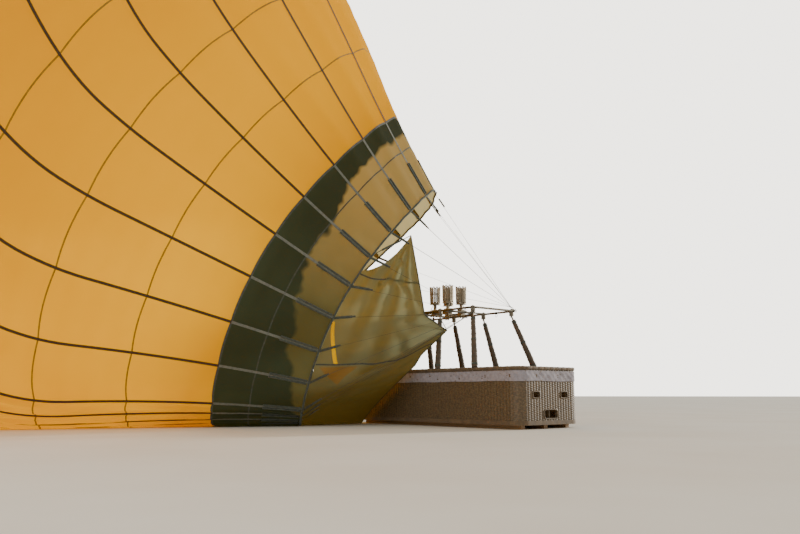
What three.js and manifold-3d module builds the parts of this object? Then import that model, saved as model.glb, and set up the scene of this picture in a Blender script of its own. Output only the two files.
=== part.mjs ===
// Hot air balloon, half filled and leaning up off the ground, with its basket standing at the mouth.
// Millimetres, +Z up. The origin is on the ground under the middle of the basket.
// +X runs along the basket, away from the envelope, whose own axis leaves at a heading across it.

import * as THREE from 'three';
import { mergeVertices } from 'three/addons/utils/BufferGeometryUtils.js';
import Module from 'manifold-3d';

const wasm = await Module();
wasm.setup();

// Gap left between two pieces that touch, and the half of it that a sheet gives up at its edge.
const GAP = 0.3;
const EDGE_GAP = 0.45;

// Basket sizes. Levels are heights above the ground.
const BASKET = { length: 4700, width: 1700, wall: 40, corner: 230 };
const RUNNER = { length: 4440, width: 100, height: 70, pitch: 620 };
const FLOOR_TOP = 94;
const WICKER_TOP = 1045;
const RIM_TOP = 1110;
const RIM_OVERHANG = 24;
const HIDE = { low: 72, high: 150, thick: 6 };
const BANNER = { low: 845, high: 1030, thick: 5 };
const PARTITION = { thick: 30, x: 520, top: 1000 };

// Footholes in the end wall: place across, height of the middle, width and height.
const FOOTHOLES = [
  { y: -390, z: 602, wide: 190, high: 115 },
  { y: 390, z: 602, wide: 190, high: 115 },
  { y: 0, z: 260, wide: 370, high: 160 },
];

// Gas cylinders in the pilot's compartment.
const CYLINDER = { radius: 150, height: 860, x: 300, y: 630 };

// Load frame on eight padded posts. Its middle is a little nearer the envelope than the basket's.
const FRAME = { x: -300, halfLength: 1320, halfWidth: 607, high: 2270, tube: 21, cut: 110 };
const SOCKET = { radius: 46, low: 2170, high: 2300 };
const POST_RADIUS = { foot: 66, middle: 62, head: 46 };

// Posts: place of the foot on the basket rim, and of the head in the frame, from its middle.
const POSTS = [
  { name: 'post_near_front', footX: 1260, headX: 1320, side: -1 },
  { name: 'post_near_front_mid', footX: 255, headX: 400, side: -1 },
  { name: 'post_near_rear_mid', footX: -740, headX: -480, side: -1 },
  { name: 'post_near_rear', footX: -1735, headX: -1320, side: -1 },
  { name: 'post_far_front', footX: 1300, headX: 1320, side: 1 },
  { name: 'post_far_front_mid', footX: 290, headX: 435, side: 1 },
  { name: 'post_far_rear_mid', footX: -715, headX: -450, side: 1 },
  { name: 'post_far_rear', footX: -1720, headX: -1320, side: 1 },
];

// Burner: four coils in a square, on a block hung in a gimbal ring.
const CROSSBAR = { x: 520, radius: 16 };
const GIMBAL = { halfX: 440, halfY: 400, tube: 16, cut: 90 };
const PIN = { radius: 10, hole: 10.7, boss: 26, bossLength: 46 };
const PIVOT_Z = FRAME.high;
const BURNER = { pitch: 385, block: 112, blockLow: 2238, blockHigh: 2362, panLow: 2472, panHigh: 2486 };
const COIL = { radius: 102, tube: 9, count: 10, top: 2850, ring: 14 };

// Envelope. Its axis starts on the ground near the middle, heads across the basket and leans up.
// Lengths along a gore are counted from the mouth's edge. Gores are numbered round from the top,
// towards the near side, so that tapes lie on half numbers.
const HEADING = 0.868;
const LEAN = 0.477;
const MOUTH = { startX: -638, startY: 466, along: 1893, z: 2003, halfHeight: 2694 };
const GORES = 36;
const FABRIC = 10;
const BULGE = 0.012;
const START_ANGLE = 0.508;
const PROFILE = [
  { length: 5950, endAngle: 0.75 },
  { length: 8700, endAngle: 0 },
  { length: 15010, endAngle: -1.5 },
];

// The section is narrow and pointed at the mouth and round at the belly.
const NARROW = { ratio: 0.85, from: 6000, to: 15000 };
const FLAT_SIDES = { power: 0.65, from: 5000, to: 15000 };
const PEAK = { height: 0.218, from: 2500, to: 10500 };
const SWEEP = { start: 447, rate: 0.132, far: 650, from: 6000, to: 18000 };
const LIFT = { height: 3000, from: 5000, to: 14000 };
const HOLLOW = { depth: 0.3, from: 4000, full: 9000, to: 13000, gone: 22000 };
const TUCK = 450;

// Angle of a gore at the mouth: wide on the sides, gathered on the ground. It evens out up the gore.
const SPREAD = { step: 0.2535, last: 9.5, from: 4000, to: 16000 };

const BAND_DEPTH = 1620;
const VENT = { edge: 26580, overlap: 400, under: 11, rows: [27700, 28900] };
const SEAMS = [BAND_DEPTH, 3060, 4500, 5940, 8000, 10400, 13200, 16400, 19800, 23200];

// Crown ring and the tapes that cross the vent hole.
const CROWN = { ringAt: 29300, every: 3, tape: 44, thick: 6, ringTube: 16, rim: 60 };

// Flying wires and their links. Each corner of the load frame holds nine, from a first tape on.
const WIRE = { radius: 3, end: 9, way: 9, spread: 12, clean: 0.2 };
const LINK = { radius: 36, tube: 6, thimble: 20, thimbleTube: 4, lugHole: 13, lugReach: 104, pull: 5.5 };
const WIRE_CORNERS = [
  { name: 'far_front', x: 1, y: 1, from: -4.5 },
  { name: 'near_front', x: 1, y: -1, from: 4.5 },
  { name: 'near_rear', x: -1, y: -1, from: 13.5 },
  { name: 'far_rear', x: -1, y: 1, from: 22.5 },
];

// Scoop: the sheet from the lower mouth's edge to the basket. Its free edge goes through these points.
const SCOOP = { from: 5, to: 31, thick: 10, clear: 14, sag: 180 };
const SCOOP_EDGE = [
  { at: 5, x: 27, y: -1318, z: 3730 },
  { at: 6.5, x: 127, y: -1150, z: 2620 },
  { at: 8, x: 190, y: -1000, z: 1620 },
  { at: 9.5, x: -280, y: -950, z: 1180 },
  { at: 11, x: -950, y: -950, z: 780 },
  { at: 12.5, x: -1650, y: -960, z: 310 },
  { at: 14, x: -2000, y: -980, z: 0 },
  { at: 17, x: -2650, y: -1010, z: 0 },
  { at: 19, x: -2870, y: -700, z: 0 },
  { at: 23, x: -2910, y: 0, z: 250 },
  { at: 27, x: -2790, y: 600, z: 1700 },
  { at: 31, x: -2506, y: 828, z: 3730 },
];

// Colours, roughness and metalness.
const FINISHES = {
  yellow: { color: '#f2b705', roughness: 0.6, metalness: 0 },
  band: { color: '#3d4a35', roughness: 0.6, metalness: 0 },
  scoop: { color: '#6f7048', roughness: 0.7, metalness: 0 },
  wicker: { color: '#6b5537', roughness: 0.85, metalness: 0 },
  hide: { color: '#4a3a26', roughness: 0.75, metalness: 0 },
  banner: { color: '#8f8a90', roughness: 0.7, metalness: 0 },
  wood: { color: '#8b6b45', roughness: 0.7, metalness: 0 },
  padding: { color: '#4d3d2b', roughness: 0.8, metalness: 0 },
  steel: { color: '#b9bcbe', roughness: 0.35, metalness: 1 },
  burner: { color: '#9c8f7c', roughness: 0.4, metalness: 1 },
  cylinder: { color: '#c9cdd0', roughness: 0.35, metalness: 1 },
  tape: { color: '#3a2a10', roughness: 0.8, metalness: 0 },
  wire: { color: '#a8a8a8', roughness: 0.4, metalness: 1 },
};

const balloon = new THREE.Group();

// Solids

function toSolid(geometry) {
  const bare = geometry.clone();
  bare.deleteAttribute('normal');
  bare.deleteAttribute('uv');
  const merged = mergeVertices(bare, 1e-3);
  return new wasm.Manifold(new wasm.Mesh({
    numProp: 3,
    vertProperties: new Float32Array(merged.attributes.position.array),
    triVerts: new Uint32Array(merged.index.array),
  }));
}

function fromSolid(solid) {
  const mesh = solid.getMesh();
  const geometry = new THREE.BufferGeometry();
  geometry.setAttribute('position', new THREE.BufferAttribute(new Float32Array(mesh.vertProperties), 3));
  geometry.setIndex(new THREE.BufferAttribute(new Uint32Array(mesh.triVerts), 1));
  return geometry;
}

function join(geometries) {
  let whole = toSolid(geometries[0]);
  for (const geometry of geometries.slice(1)) {
    whole = whole.add(toSolid(geometry));
  }
  return whole;
}

function cut(solid, geometries) {
  let left = solid;
  for (const geometry of geometries) {
    left = left.subtract(toSolid(geometry));
  }
  return left;
}

function addPiece(name, geometry, finish) {
  const material = new THREE.MeshStandardMaterial(FINISHES[finish]);
  const mesh = new THREE.Mesh(geometry, material);
  mesh.name = name;
  balloon.add(mesh);
}

// Plain shapes

function block(x0, x1, y0, y1, z0, z1) {
  const box = new THREE.BoxGeometry(x1 - x0, y1 - y0, z1 - z0);
  return box.translate((x0 + x1) / 2, (y0 + y1) / 2, (z0 + z1) / 2);
}

function rod(from, to, radius, sides = 8) {
  const along = new THREE.Vector3().subVectors(to, from);
  const cylinder = new THREE.CylinderGeometry(radius, radius, along.length(), sides);
  const turn = new THREE.Quaternion().setFromUnitVectors(new THREE.Vector3(0, 1, 0), along.clone().normalize());
  cylinder.applyQuaternion(turn);
  const middle = new THREE.Vector3().addVectors(from, to).multiplyScalar(0.5);
  return cylinder.translate(middle.x, middle.y, middle.z);
}

function post(x, y, z0, z1, radius, sides = 12) {
  return rod(new THREE.Vector3(x, y, z0), new THREE.Vector3(x, y, z1), radius, sides);
}

function roundedOutline(Kind, length, width, corner) {
  const a = length / 2 - corner;
  const b = width / 2 - corner;
  const outline = new Kind();
  outline.moveTo(a + corner, -b);
  outline.absarc(a, b, corner, 0, Math.PI / 2);
  outline.absarc(-a, b, corner, Math.PI / 2, Math.PI);
  outline.absarc(-a, -b, corner, Math.PI, Math.PI * 1.5);
  outline.absarc(a, -b, corner, Math.PI * 1.5, Math.PI * 2);
  return outline;
}

// A band round the basket: out and inn are its distances outside the wicker's outer face.
function basketRing(out, inn, z0, z1, bevel = 0) {
  const shape = roundedOutline(THREE.Shape, BASKET.length + 2 * out, BASKET.width + 2 * out,
    BASKET.corner + out);
  shape.holes.push(roundedOutline(THREE.Path, BASKET.length + 2 * inn, BASKET.width + 2 * inn,
    BASKET.corner + inn));
  const geometry = new THREE.ExtrudeGeometry(shape, {
    depth: z1 - z0 - 2 * bevel,
    curveSegments: 3,
    bevelEnabled: bevel > 0,
    bevelThickness: bevel,
    bevelSize: bevel,
    bevelOffset: -bevel,
    bevelSegments: 1,
  });
  return geometry.translate(0, 0, z0 + bevel);
}

function indexed(points, triangles) {
  const flat = points.flatMap((p) => [p.x, p.y, p.z]);
  const geometry = new THREE.BufferGeometry();
  geometry.setAttribute('position', new THREE.BufferAttribute(new Float32Array(flat), 3));
  geometry.setIndex(triangles.flat());
  return geometry;
}

// A closed skin over level ellipses, one above the next.
function loft(stations, sides) {
  const points = [];
  for (const { x, y, z, rx, ry } of stations) {
    for (let i = 0; i < sides; i += 1) {
      const turn = (2 * Math.PI * i) / sides;
      points.push(new THREE.Vector3(x + rx * Math.cos(turn), y + ry * Math.sin(turn), z));
    }
  }
  const triangles = [];
  const last = (stations.length - 1) * sides;
  for (let level = 0; level < stations.length - 1; level += 1) {
    for (let i = 0; i < sides; i += 1) {
      const a = level * sides + i;
      const b = level * sides + ((i + 1) % sides);
      triangles.push([a, b, b + sides], [a, b + sides, a + sides]);
    }
  }
  for (let i = 1; i < sides - 1; i += 1) {
    triangles.push([0, i + 1, i], [last, last + i, last + i + 1]);
  }
  return outwards(indexed(points, triangles));
}

// A level tube that closes on itself, with mitred corners.
function levelLoop(corners, z, radius, sides = 6) {
  const points = [];
  const count = corners.length;
  corners.forEach((corner, i) => {
    const before = corners[(i + count - 1) % count];
    const after = corners[(i + 1) % count];
    const into = corner.clone().sub(before).normalize();
    const away = after.clone().sub(corner).normalize();
    const along = into.clone().add(away).normalize();
    const outward = new THREE.Vector2(along.y, -along.x);
    const stretch = 1 / along.dot(away);
    for (let j = 0; j < sides; j += 1) {
      const turn = (2 * Math.PI * (j + 0.5)) / sides;
      const out = radius * Math.cos(turn) * stretch;
      points.push(new THREE.Vector3(corner.x + out * outward.x, corner.y + out * outward.y,
        z + radius * Math.sin(turn)));
    }
  });
  const triangles = [];
  for (let i = 0; i < count; i += 1) {
    for (let j = 0; j < sides; j += 1) {
      const a = i * sides + j;
      const b = i * sides + ((j + 1) % sides);
      const c = ((i + 1) % count) * sides + ((j + 1) % sides);
      const d = ((i + 1) % count) * sides + j;
      triangles.push([a, d, c], [a, c, b]);
    }
  }
  return outwards(indexed(points, triangles));
}

// Corners of a rectangle with its corners cut off, anticlockwise from above.
function cutRectangle(x, halfX, halfY, cutBack) {
  const a = halfX - cutBack;
  const b = halfY - cutBack;
  return [
    [halfX, -b], [halfX, b], [a, halfY], [-a, halfY],
    [-halfX, b], [-halfX, -b], [-a, -halfY], [a, -halfY],
  ].map(([px, py]) => new THREE.Vector2(x + px, py));
}

// Envelope surface

const FORWARD = new THREE.Vector3(-Math.cos(HEADING), -Math.sin(HEADING), 0);
const AXIS = FORWARD.clone().multiplyScalar(Math.cos(LEAN)).setZ(Math.sin(LEAN));
const UP = FORWARD.clone().multiplyScalar(-Math.sin(LEAN)).setZ(Math.cos(LEAN));
const NEAR = new THREE.Vector3(Math.sin(HEADING), -Math.cos(HEADING), 0);
const MOUTH_CENTRE = new THREE.Vector3(MOUTH.startX, MOUTH.startY, MOUTH.z)
  .addScaledVector(FORWARD, MOUTH.along);

function smooth(value, from, to) {
  const t = Math.min(Math.max((value - from) / (to - from), 0), 1);
  return t * t * (3 - 2 * t);
}

function mix(a, b, t) {
  return a + t * (b - a);
}

// Half height of the section and distance along the axis, at a length along a gore.
function profileAt(length) {
  let radius = MOUTH.halfHeight;
  let axial = 0;
  let angle = START_ANGLE;
  let left = length;
  for (const arc of PROFILE) {
    const bend = (arc.endAngle - angle) / arc.length;
    const run = Math.min(left, arc.length);
    const end = angle + bend * run;
    radius += (Math.cos(angle) - Math.cos(end)) / bend;
    axial += (Math.sin(end) - Math.sin(angle)) / bend;
    angle = end;
    left -= run;
    if (left <= 0) break;
  }
  return { radius, axial };
}

// Angle from the top of the section to a place counted in gores.
function goreAngle(length, gore) {
  const turns = Math.floor((gore + GORES / 2) / GORES);
  const place = gore - turns * GORES;
  const side = Math.sign(place);
  const count = Math.abs(place);
  const rest = (Math.PI - SPREAD.step * SPREAD.last) / (GORES / 2 - SPREAD.last);
  const gathered = SPREAD.step * Math.min(count, SPREAD.last) + rest * Math.max(count - SPREAD.last, 0);
  const even = (2 * Math.PI * count) / GORES;
  return side * mix(gathered, even, smooth(length, SPREAD.from, SPREAD.to));
}

function signedPower(value, power) {
  return Math.sign(value) * Math.abs(value) ** power;
}

// Height above the ground of cloth that would hang at height z: below it, the cloth lies flat.
function laidOnGround(z) {
  if (z >= TUCK) return z;
  if (z <= -TUCK) return 0;
  return (z + TUCK) ** 2 / (4 * TUCK);
}

function envelopePoint(length, gore) {
  const { radius, axial } = profileAt(length);
  const angle = goreAngle(length, gore);
  const cos = Math.cos(angle);
  const sin = Math.sin(angle);
  const swell = radius * (1 + BULGE * Math.abs(Math.cos(Math.PI * gore)));
  const width = mix(NARROW.ratio, 1, smooth(length, NARROW.from, NARROW.to));
  const power = mix(FLAT_SIDES.power, 1, smooth(length, FLAT_SIDES.from, FLAT_SIDES.to));
  const peak = PEAK.height * (1 - smooth(length, PEAK.from, PEAK.to)) * Math.max(cos, 0) ** 3;
  const hollow = HOLLOW.depth * smooth(length, HOLLOW.from, HOLLOW.full)
    * (1 - smooth(length, HOLLOW.to, HOLLOW.gone)) * (cos < 0 ? 1 : 0);
  const swept = (SWEEP.start + SWEEP.rate * length + (angle < 0 ? SWEEP.far : 0)) * sin * sin
    * (1 - smooth(length, SWEEP.from, SWEEP.to));
  const lift = LIFT.height * smooth(length, LIFT.from, LIFT.to);
  const point = MOUTH_CENTRE.clone()
    .addScaledVector(AXIS, axial + swept)
    .addScaledVector(UP, lift + swell * cos * (1 + peak) * (1 - hollow))
    .addScaledVector(NEAR, swell * width * signedPower(sin, power));
  point.z = laidOnGround(point.z);
  return point;
}

// Direction out of the envelope, over a patch a little wider than the tuck at the ground.
function envelopeNormal(length, gore) {
  const reach = 320;
  const swing = 1;
  const along = envelopePoint(length + reach, gore).sub(envelopePoint(Math.max(length - reach, 0), gore));
  const across = envelopePoint(length, gore + swing).sub(envelopePoint(length, gore - swing));
  return along.cross(across).normalize();
}

// A sheet with thickness. Row i and column j give a point on its outer face and a way out.
function sheet(rows, columns, pointAt, normalAt, thick) {
  const outer = [];
  const inner = [];
  rows.forEach((row) => {
    columns.forEach((column) => {
      const point = pointAt(row, column);
      outer.push(point);
      inner.push(point.clone().addScaledVector(normalAt(row, column), -thick));
    });
  });
  const wide = columns.length;
  const lastRow = rows.length - 1;
  for (const points of [outer, inner]) {
    drawBackEdges(points, lastRow, wide);
  }
  return closeSheet(outer, inner, rows.length, wide);
}

// Each edge column is drawn back square to itself, towards its neighbour, so that two sheets never meet.
function drawBackEdges(points, lastRow, wide) {
  const moves = [];
  for (let i = 0; i <= lastRow; i += 1) {
    for (const [edge, next] of [[0, 1], [wide - 1, wide - 2]]) {
      const before = points[Math.max(i - 1, 0) * wide + edge];
      const after = points[Math.min(i + 1, lastRow) * wide + edge];
      const along = after.clone().sub(before).normalize();
      const inward = points[i * wide + next].clone().sub(points[i * wide + edge]);
      inward.addScaledVector(along, -inward.dot(along));
      moves.push([i * wide + edge, inward.setLength(EDGE_GAP)]);
    }
  }
  for (const [place, move] of moves) {
    points[place].add(move);
  }
}

function closeSheet(outer, inner, tall, wide) {
  const base = outer.length;
  const triangles = [];
  for (let i = 0; i < tall - 1; i += 1) {
    for (let j = 0; j < wide - 1; j += 1) {
      const a = i * wide + j;
      const b = a + wide;
      triangles.push([a, b, b + 1], [a, b + 1, a + 1]);
      triangles.push([base + a, base + b + 1, base + b], [base + a, base + a + 1, base + b + 1]);
    }
  }
  // The four edges are closed so that two sheets which meet share their diagonals.
  const edge = [];
  for (let i = 0; i < tall; i += 1) edge.push(i * wide);
  for (let j = 1; j < wide; j += 1) edge.push((tall - 1) * wide + j);
  const half = edge.length - 1;
  for (let i = tall - 2; i >= 0; i -= 1) edge.push(i * wide + wide - 1);
  for (let j = wide - 2; j > 0; j -= 1) edge.push(j);
  edge.forEach((a, k) => {
    const b = edge[(k + 1) % edge.length];
    if (k < half) triangles.push([b, a, base + a], [b, base + a, base + b]);
    else triangles.push([b, a, base + b], [a, base + a, base + b]);
  });
  return outwards(indexed([...outer, ...inner], triangles));
}

function range(from, to, step) {
  const values = [];
  for (let value = from; value <= to + step / 100; value += step) values.push(value);
  return values;
}

// Yellow gores, four to a piece, from the dark mouth band to the vent hole.
function addGores() {
  const rows = [BAND_DEPTH + GAP, ...SEAMS.slice(1), VENT.edge - VENT.overlap, VENT.edge];
  for (let k = 0; k < GORES / 4; k += 1) {
    const from = -2.5 + 4 * k;
    addPiece(`gores_${k + 1}`, sheet(rows, range(from, from + 4, 0.5), envelopePoint, envelopeNormal, FABRIC),
      'yellow');
  }
}

// Mouth band in three pieces of twelve gores, the first one over the top.
function addMouthBand() {
  const rows = [0, BAND_DEPTH / 2, BAND_DEPTH - GAP];
  ['top', 'near', 'far'].forEach((side, k) => {
    const from = -6.5 + 12 * k;
    addPiece(`mouth_band_${side}`, sheet(rows, range(from, from + 12, 0.5), envelopePoint, envelopeNormal, FABRIC),
      'band');
  });
}

// Round panel that closes the vent hole from inside, with its corners under the gore tapes.
function addVentPanel() {
  const rows = [VENT.edge - VENT.overlap, VENT.edge, ...VENT.rows];
  const outer = [];
  const inner = [];
  rows.forEach((row) => {
    for (let gore = 0.5; gore < GORES; gore += 1) {
      const normal = envelopeNormal(row, gore);
      const point = envelopePoint(row, gore);
      outer.push(point.clone().addScaledVector(normal, -VENT.under));
      inner.push(point.clone().addScaledVector(normal, -VENT.under - FABRIC));
    }
  });
  outer.push(onAxis(CROWN_LENGTH).addScaledVector(AXIS, -VENT.under));
  inner.push(onAxis(CROWN_LENGTH).addScaledVector(AXIS, -VENT.under - FABRIC));
  const base = outer.length;
  const tip = base - 1;
  const triangles = [];
  const last = (rows.length - 1) * GORES;
  for (let j = 0; j < GORES; j += 1) {
    const next = (j + 1) % GORES;
    for (let i = 0; i < rows.length - 1; i += 1) {
      const a = i * GORES + j;
      const b = i * GORES + next;
      const c = a + GORES;
      const d = b + GORES;
      triangles.push([a, c, d], [a, d, b], [base + a, base + d, base + c], [base + a, base + b, base + d]);
    }
    triangles.push([last + j, tip, last + next], [base + last + j, base + last + next, base + tip]);
    triangles.push([next, base + j, j], [next, base + next, base + j]);
  }
  addPiece('parachute_vent', outwards(indexed([...outer, ...inner], triangles)), 'yellow');
}

const CROWN_LENGTH = PROFILE.reduce((sum, arc) => sum + arc.length, 0);

// Place on the middle line of the round part of the envelope, level with a length along a gore.
function onAxis(length) {
  return MOUTH_CENTRE.clone()
    .addScaledVector(AXIS, profileAt(length).axial)
    .addScaledVector(UP, LIFT.height);
}

// Crown ring with the tapes that run to it over the vent hole, on a hoop at the hole's edge.
function addCrown() {
  const parts = [];
  const rows = [VENT.edge + 12, VENT.rows[0], VENT.rows[1], CROWN.ringAt];
  for (let gore = 0.5; gore < GORES; gore += CROWN.every) {
    const outer = [];
    const inner = [];
    const side = envelopePoint(rows[0], gore + 0.1).sub(envelopePoint(rows[0], gore - 0.1)).normalize();
    rows.forEach((row) => {
      for (const hand of [-0.5, 0.5]) {
        const normal = envelopeNormal(row, gore);
        const point = envelopePoint(row, gore).addScaledVector(side, hand * CROWN.tape);
        outer.push(point.clone().addScaledVector(normal, CROWN.thick - 1));
        inner.push(point.addScaledVector(normal, 1));
      }
    });
    parts.push(closeSheet(outer, inner, rows.length, 2));
  }
  parts.push(crownHoop());
  const ring = new THREE.TorusGeometry(profileAt(CROWN.ringAt).radius, CROWN.ringTube, 6, 24);
  ring.applyQuaternion(new THREE.Quaternion().setFromUnitVectors(new THREE.Vector3(0, 0, 1), AXIS));
  const place = onAxis(CROWN.ringAt);
  parts.push(ring.translate(place.x, place.y, place.z));
  addPiece('crown_ring', fromSolid(join(parts)), 'tape');
}

function crownHoop() {
  const points = [];
  const triangles = [];
  const corners = [[GAP, 0], [CROWN.rim, 0], [CROWN.rim, CROWN.thick], [GAP, CROWN.thick]];
  for (let j = 0; j < GORES; j += 1) {
    const gore = j + 0.5;
    for (const [along, out] of corners) {
      const normal = envelopeNormal(VENT.edge, gore);
      points.push(envelopePoint(VENT.edge + along, gore).addScaledVector(normal, out));
    }
    const next = ((j + 1) % GORES) * 4;
    for (let i = 0; i < 4; i += 1) {
      const a = j * 4 + i;
      const b = j * 4 + ((i + 1) % 4);
      const c = next + ((i + 1) % 4);
      const d = next + i;
      triangles.push([a, c, b], [a, d, c]);
    }
  }
  return outwards(indexed(points, triangles));
}

// The same geometry with its faces turned to point out, if they point in.
function outwards(geometry) {
  const p = geometry.attributes.position;
  const index = geometry.index.array;
  let volume = 0;
  const [a, b, c] = [new THREE.Vector3(), new THREE.Vector3(), new THREE.Vector3()];
  for (let i = 0; i < index.length; i += 3) {
    a.fromBufferAttribute(p, index[i]);
    b.fromBufferAttribute(p, index[i + 1]);
    c.fromBufferAttribute(p, index[i + 2]);
    volume += a.dot(b.cross(c));
  }
  if (volume < 0) {
    for (let i = 0; i < index.length; i += 3) {
      const kept = index[i];
      index[i] = index[i + 1];
      index[i + 1] = kept;
    }
  }
  return geometry;
}

// Flying wires: nine from each corner of the load frame, each to a tape end on the mouth.

function cornerPlace(corner) {
  return new THREE.Vector3(FRAME.x + corner.x * (FRAME.halfLength - FRAME.cut / 2),
    corner.y * (FRAME.halfWidth - FRAME.cut / 2), FRAME.high);
}

// Frame of one corner's link: the lug's hole, the way out to the wires, and the way across the lug.
function linkFrame(corner) {
  const diagonal = new THREE.Vector3(corner.x, corner.y, 0).normalize();
  const across = new THREE.Vector3(-diagonal.y, diagonal.x, 0);
  const hole = cornerPlace(corner).addScaledVector(diagonal, LINK.lugReach - 22);
  const way = new THREE.Vector3();
  for (let k = 0; k < 9; k += 1) {
    way.add(envelopePoint(0, corner.from + k).sub(hole).normalize());
  }
  way.addScaledVector(across, -way.dot(across)).normalize();
  return { diagonal, across, hole, way };
}

function ringOn(centre, radius, tube, inPlaneA, inPlaneB, around = 12, sides = 5) {
  const torus = new THREE.TorusGeometry(radius, tube, sides, around);
  const normal = new THREE.Vector3().crossVectors(inPlaneA, inPlaneB);
  torus.applyMatrix4(new THREE.Matrix4().makeBasis(inPlaneA, inPlaneB, normal));
  return torus.translate(centre.x, centre.y, centre.z);
}

// End of a wire at the mouth, in the middle of the cloth's edge, just short of it.
function wireEnd(start, gore) {
  const end = envelopePoint(0, gore).addScaledVector(envelopeNormal(0, gore), -FABRIC / 2);
  end.add(start.clone().sub(end).setLength(WIRE.end));
  return end.setZ(Math.max(end.z, WIRE.radius + 1));
}

// Clear ways round the wires, cut out of the cloth that they pass through.
const wireWays = [];

function addWires() {
  for (const corner of WIRE_CORNERS) {
    const { across, hole, way } = linkFrame(corner);
    const linkCentre = hole.clone().addScaledVector(way, LINK.radius + LINK.pull);
    addPiece(`karabiner_${corner.name}`, ringOn(linkCentre, LINK.radius, LINK.tube, way, across), 'steel');
    const beside = new THREE.Vector3().crossVectors(way, across);
    const inside = LINK.tube + LINK.thimbleTube + GAP;
    const thimbleCentre = linkCentre.clone().addScaledVector(way, LINK.radius + LINK.thimble - inside);
    const start = thimbleCentre.clone().addScaledVector(way, LINK.thimble + 2);
    const parts = [
      ringOn(thimbleCentre, LINK.thimble, LINK.thimbleTube, way, beside, 10, 5),
      rod(start.clone().addScaledVector(way, -8), start.clone().addScaledVector(way, 26), 11, 6),
    ];
    for (let k = 0; k < 9; k += 1) {
      const end = wireEnd(start, corner.from + k);
      const aside = end.clone().sub(start).normalize();
      aside.addScaledVector(way, -aside.dot(way));
      const from = start.clone().addScaledVector(way, 18).addScaledVector(aside, WIRE.spread);
      parts.push(rod(from, end, WIRE.radius, 4));
      wireWays.push(rod(from, end, WIRE.way, 4));
    }
    addPiece(`flying_wires_${corner.name}`, fromSolid(join(parts).simplify(WIRE.clean)), 'wire');
  }
}

// Scoop

function scoopEdge(gore) {
  let k = 0;
  while (k < SCOOP_EDGE.length - 2 && gore > SCOOP_EDGE[k + 1].at) k += 1;
  const a = SCOOP_EDGE[k];
  const b = SCOOP_EDGE[k + 1];
  const t = (gore - a.at) / (b.at - a.at);
  return new THREE.Vector3(mix(a.x, b.x, t), mix(a.y, b.y, t), mix(a.z, b.z, t));
}

function addScoop() {
  const columns = range(SCOOP.from, SCOOP.to, 0.5);
  const rows = [0, 0.5, 1];
  const points = rows.map((t) => columns.map((gore) => {
    const mouth = envelopePoint(0, gore);
    const edge = scoopEdge(gore);
    mouth.addScaledVector(edge.clone().sub(mouth).normalize(), SCOOP.clear);
    const point = mouth.lerp(edge, t);
    point.z -= SCOOP.sag * Math.sin(Math.PI * t) * smooth(point.z, 200, 1500);
    return point;
  }));
  const wide = columns.length;
  const tall = rows.length;
  const at = (i, j) => points[Math.min(Math.max(i, 0), tall - 1)][Math.min(Math.max(j, 0), wide - 1)];
  const outer = [];
  const inner = [];
  for (let i = 0; i < tall; i += 1) {
    for (let j = 0; j < wide; j += 1) {
      const along = at(i + 1, j).clone().sub(at(i - 1, j));
      const across = at(i, j + 1).clone().sub(at(i, j - 1));
      const normal = along.cross(across).normalize();
      if (normal.z > 0) normal.negate();
      if (at(i, j).z < 1) normal.set(0, 0, -1);
      outer.push(at(i, j).clone());
      inner.push(at(i, j).clone().addScaledVector(normal, -SCOOP.thick));
    }
  }
  addPiece('scoop', fromSolid(cut(toSolid(closeSheet(outer, inner, tall, wide)), wireWays)), 'scoop');
}

// Basket

function addBasket() {
  const inn = -BASKET.wall;
  const holes = FOOTHOLES.map(({ y, z, wide, high }) => block(BASKET.length / 2 - 200, BASKET.length / 2 + 200,
    y - wide / 2, y + wide / 2, z - high / 2, z + high / 2));
  addWalls(cut(toSolid(basketRing(0, inn, FLOOR_TOP + GAP, WICKER_TOP)), holes));
  const floorShape = roundedOutline(THREE.Shape, BASKET.length, BASKET.width, BASKET.corner);
  const floor = new THREE.ExtrudeGeometry(floorShape, {
    depth: FLOOR_TOP - RUNNER.height - GAP,
    bevelEnabled: false,
    curveSegments: 3,
  });
  addPiece('basket_floor', floor.translate(0, 0, RUNNER.height + GAP), 'wood');
  ['near', 'middle', 'far'].forEach((side, k) => {
    const y = (k - 1) * RUNNER.pitch;
    const runner = block(-RUNNER.length / 2, RUNNER.length / 2, y - RUNNER.width / 2, y + RUNNER.width / 2,
      0, RUNNER.height);
    addPiece(`runner_${side}`, runner, 'wood');
  });
  addPiece('base_hide', basketRing(HIDE.thick, GAP, HIDE.low, HIDE.high), 'hide');
  addPiece('banner', basketRing(BANNER.thick, GAP, BANNER.low, BANNER.high), 'banner');
  const rim = basketRing(RIM_OVERHANG, inn - RIM_OVERHANG, WICKER_TOP + GAP, RIM_TOP, 20);
  addPiece('rim_padding', rim, 'hide');
}

// The basket's wall in eight stretches, parted where its corners begin, so that each is a simple solid.
function addWalls(wicker) {
  const spans = (size) => {
    const bend = size / 2 - BASKET.corner;
    const past = size / 2 + 1;
    return [[-past, -bend - GAP / 2], [-bend + GAP / 2, bend - GAP / 2], [bend + GAP / 2, past]];
  };
  spans(BASKET.length).forEach(([x0, x1], i) => {
    spans(BASKET.width).forEach(([y0, y1], j) => {
      const name = ['basket_wicker', ['rear', '', 'front'][i], ['near', '', 'far'][j]].filter(Boolean).join('_');
      if (i === 1 && j === 1) return;
      addPiece(name, fromSolid(wicker.intersect(toSolid(block(x0, x1, y0, y1, 0, RIM_TOP)))), 'wicker');
    });
  });
}

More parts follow.
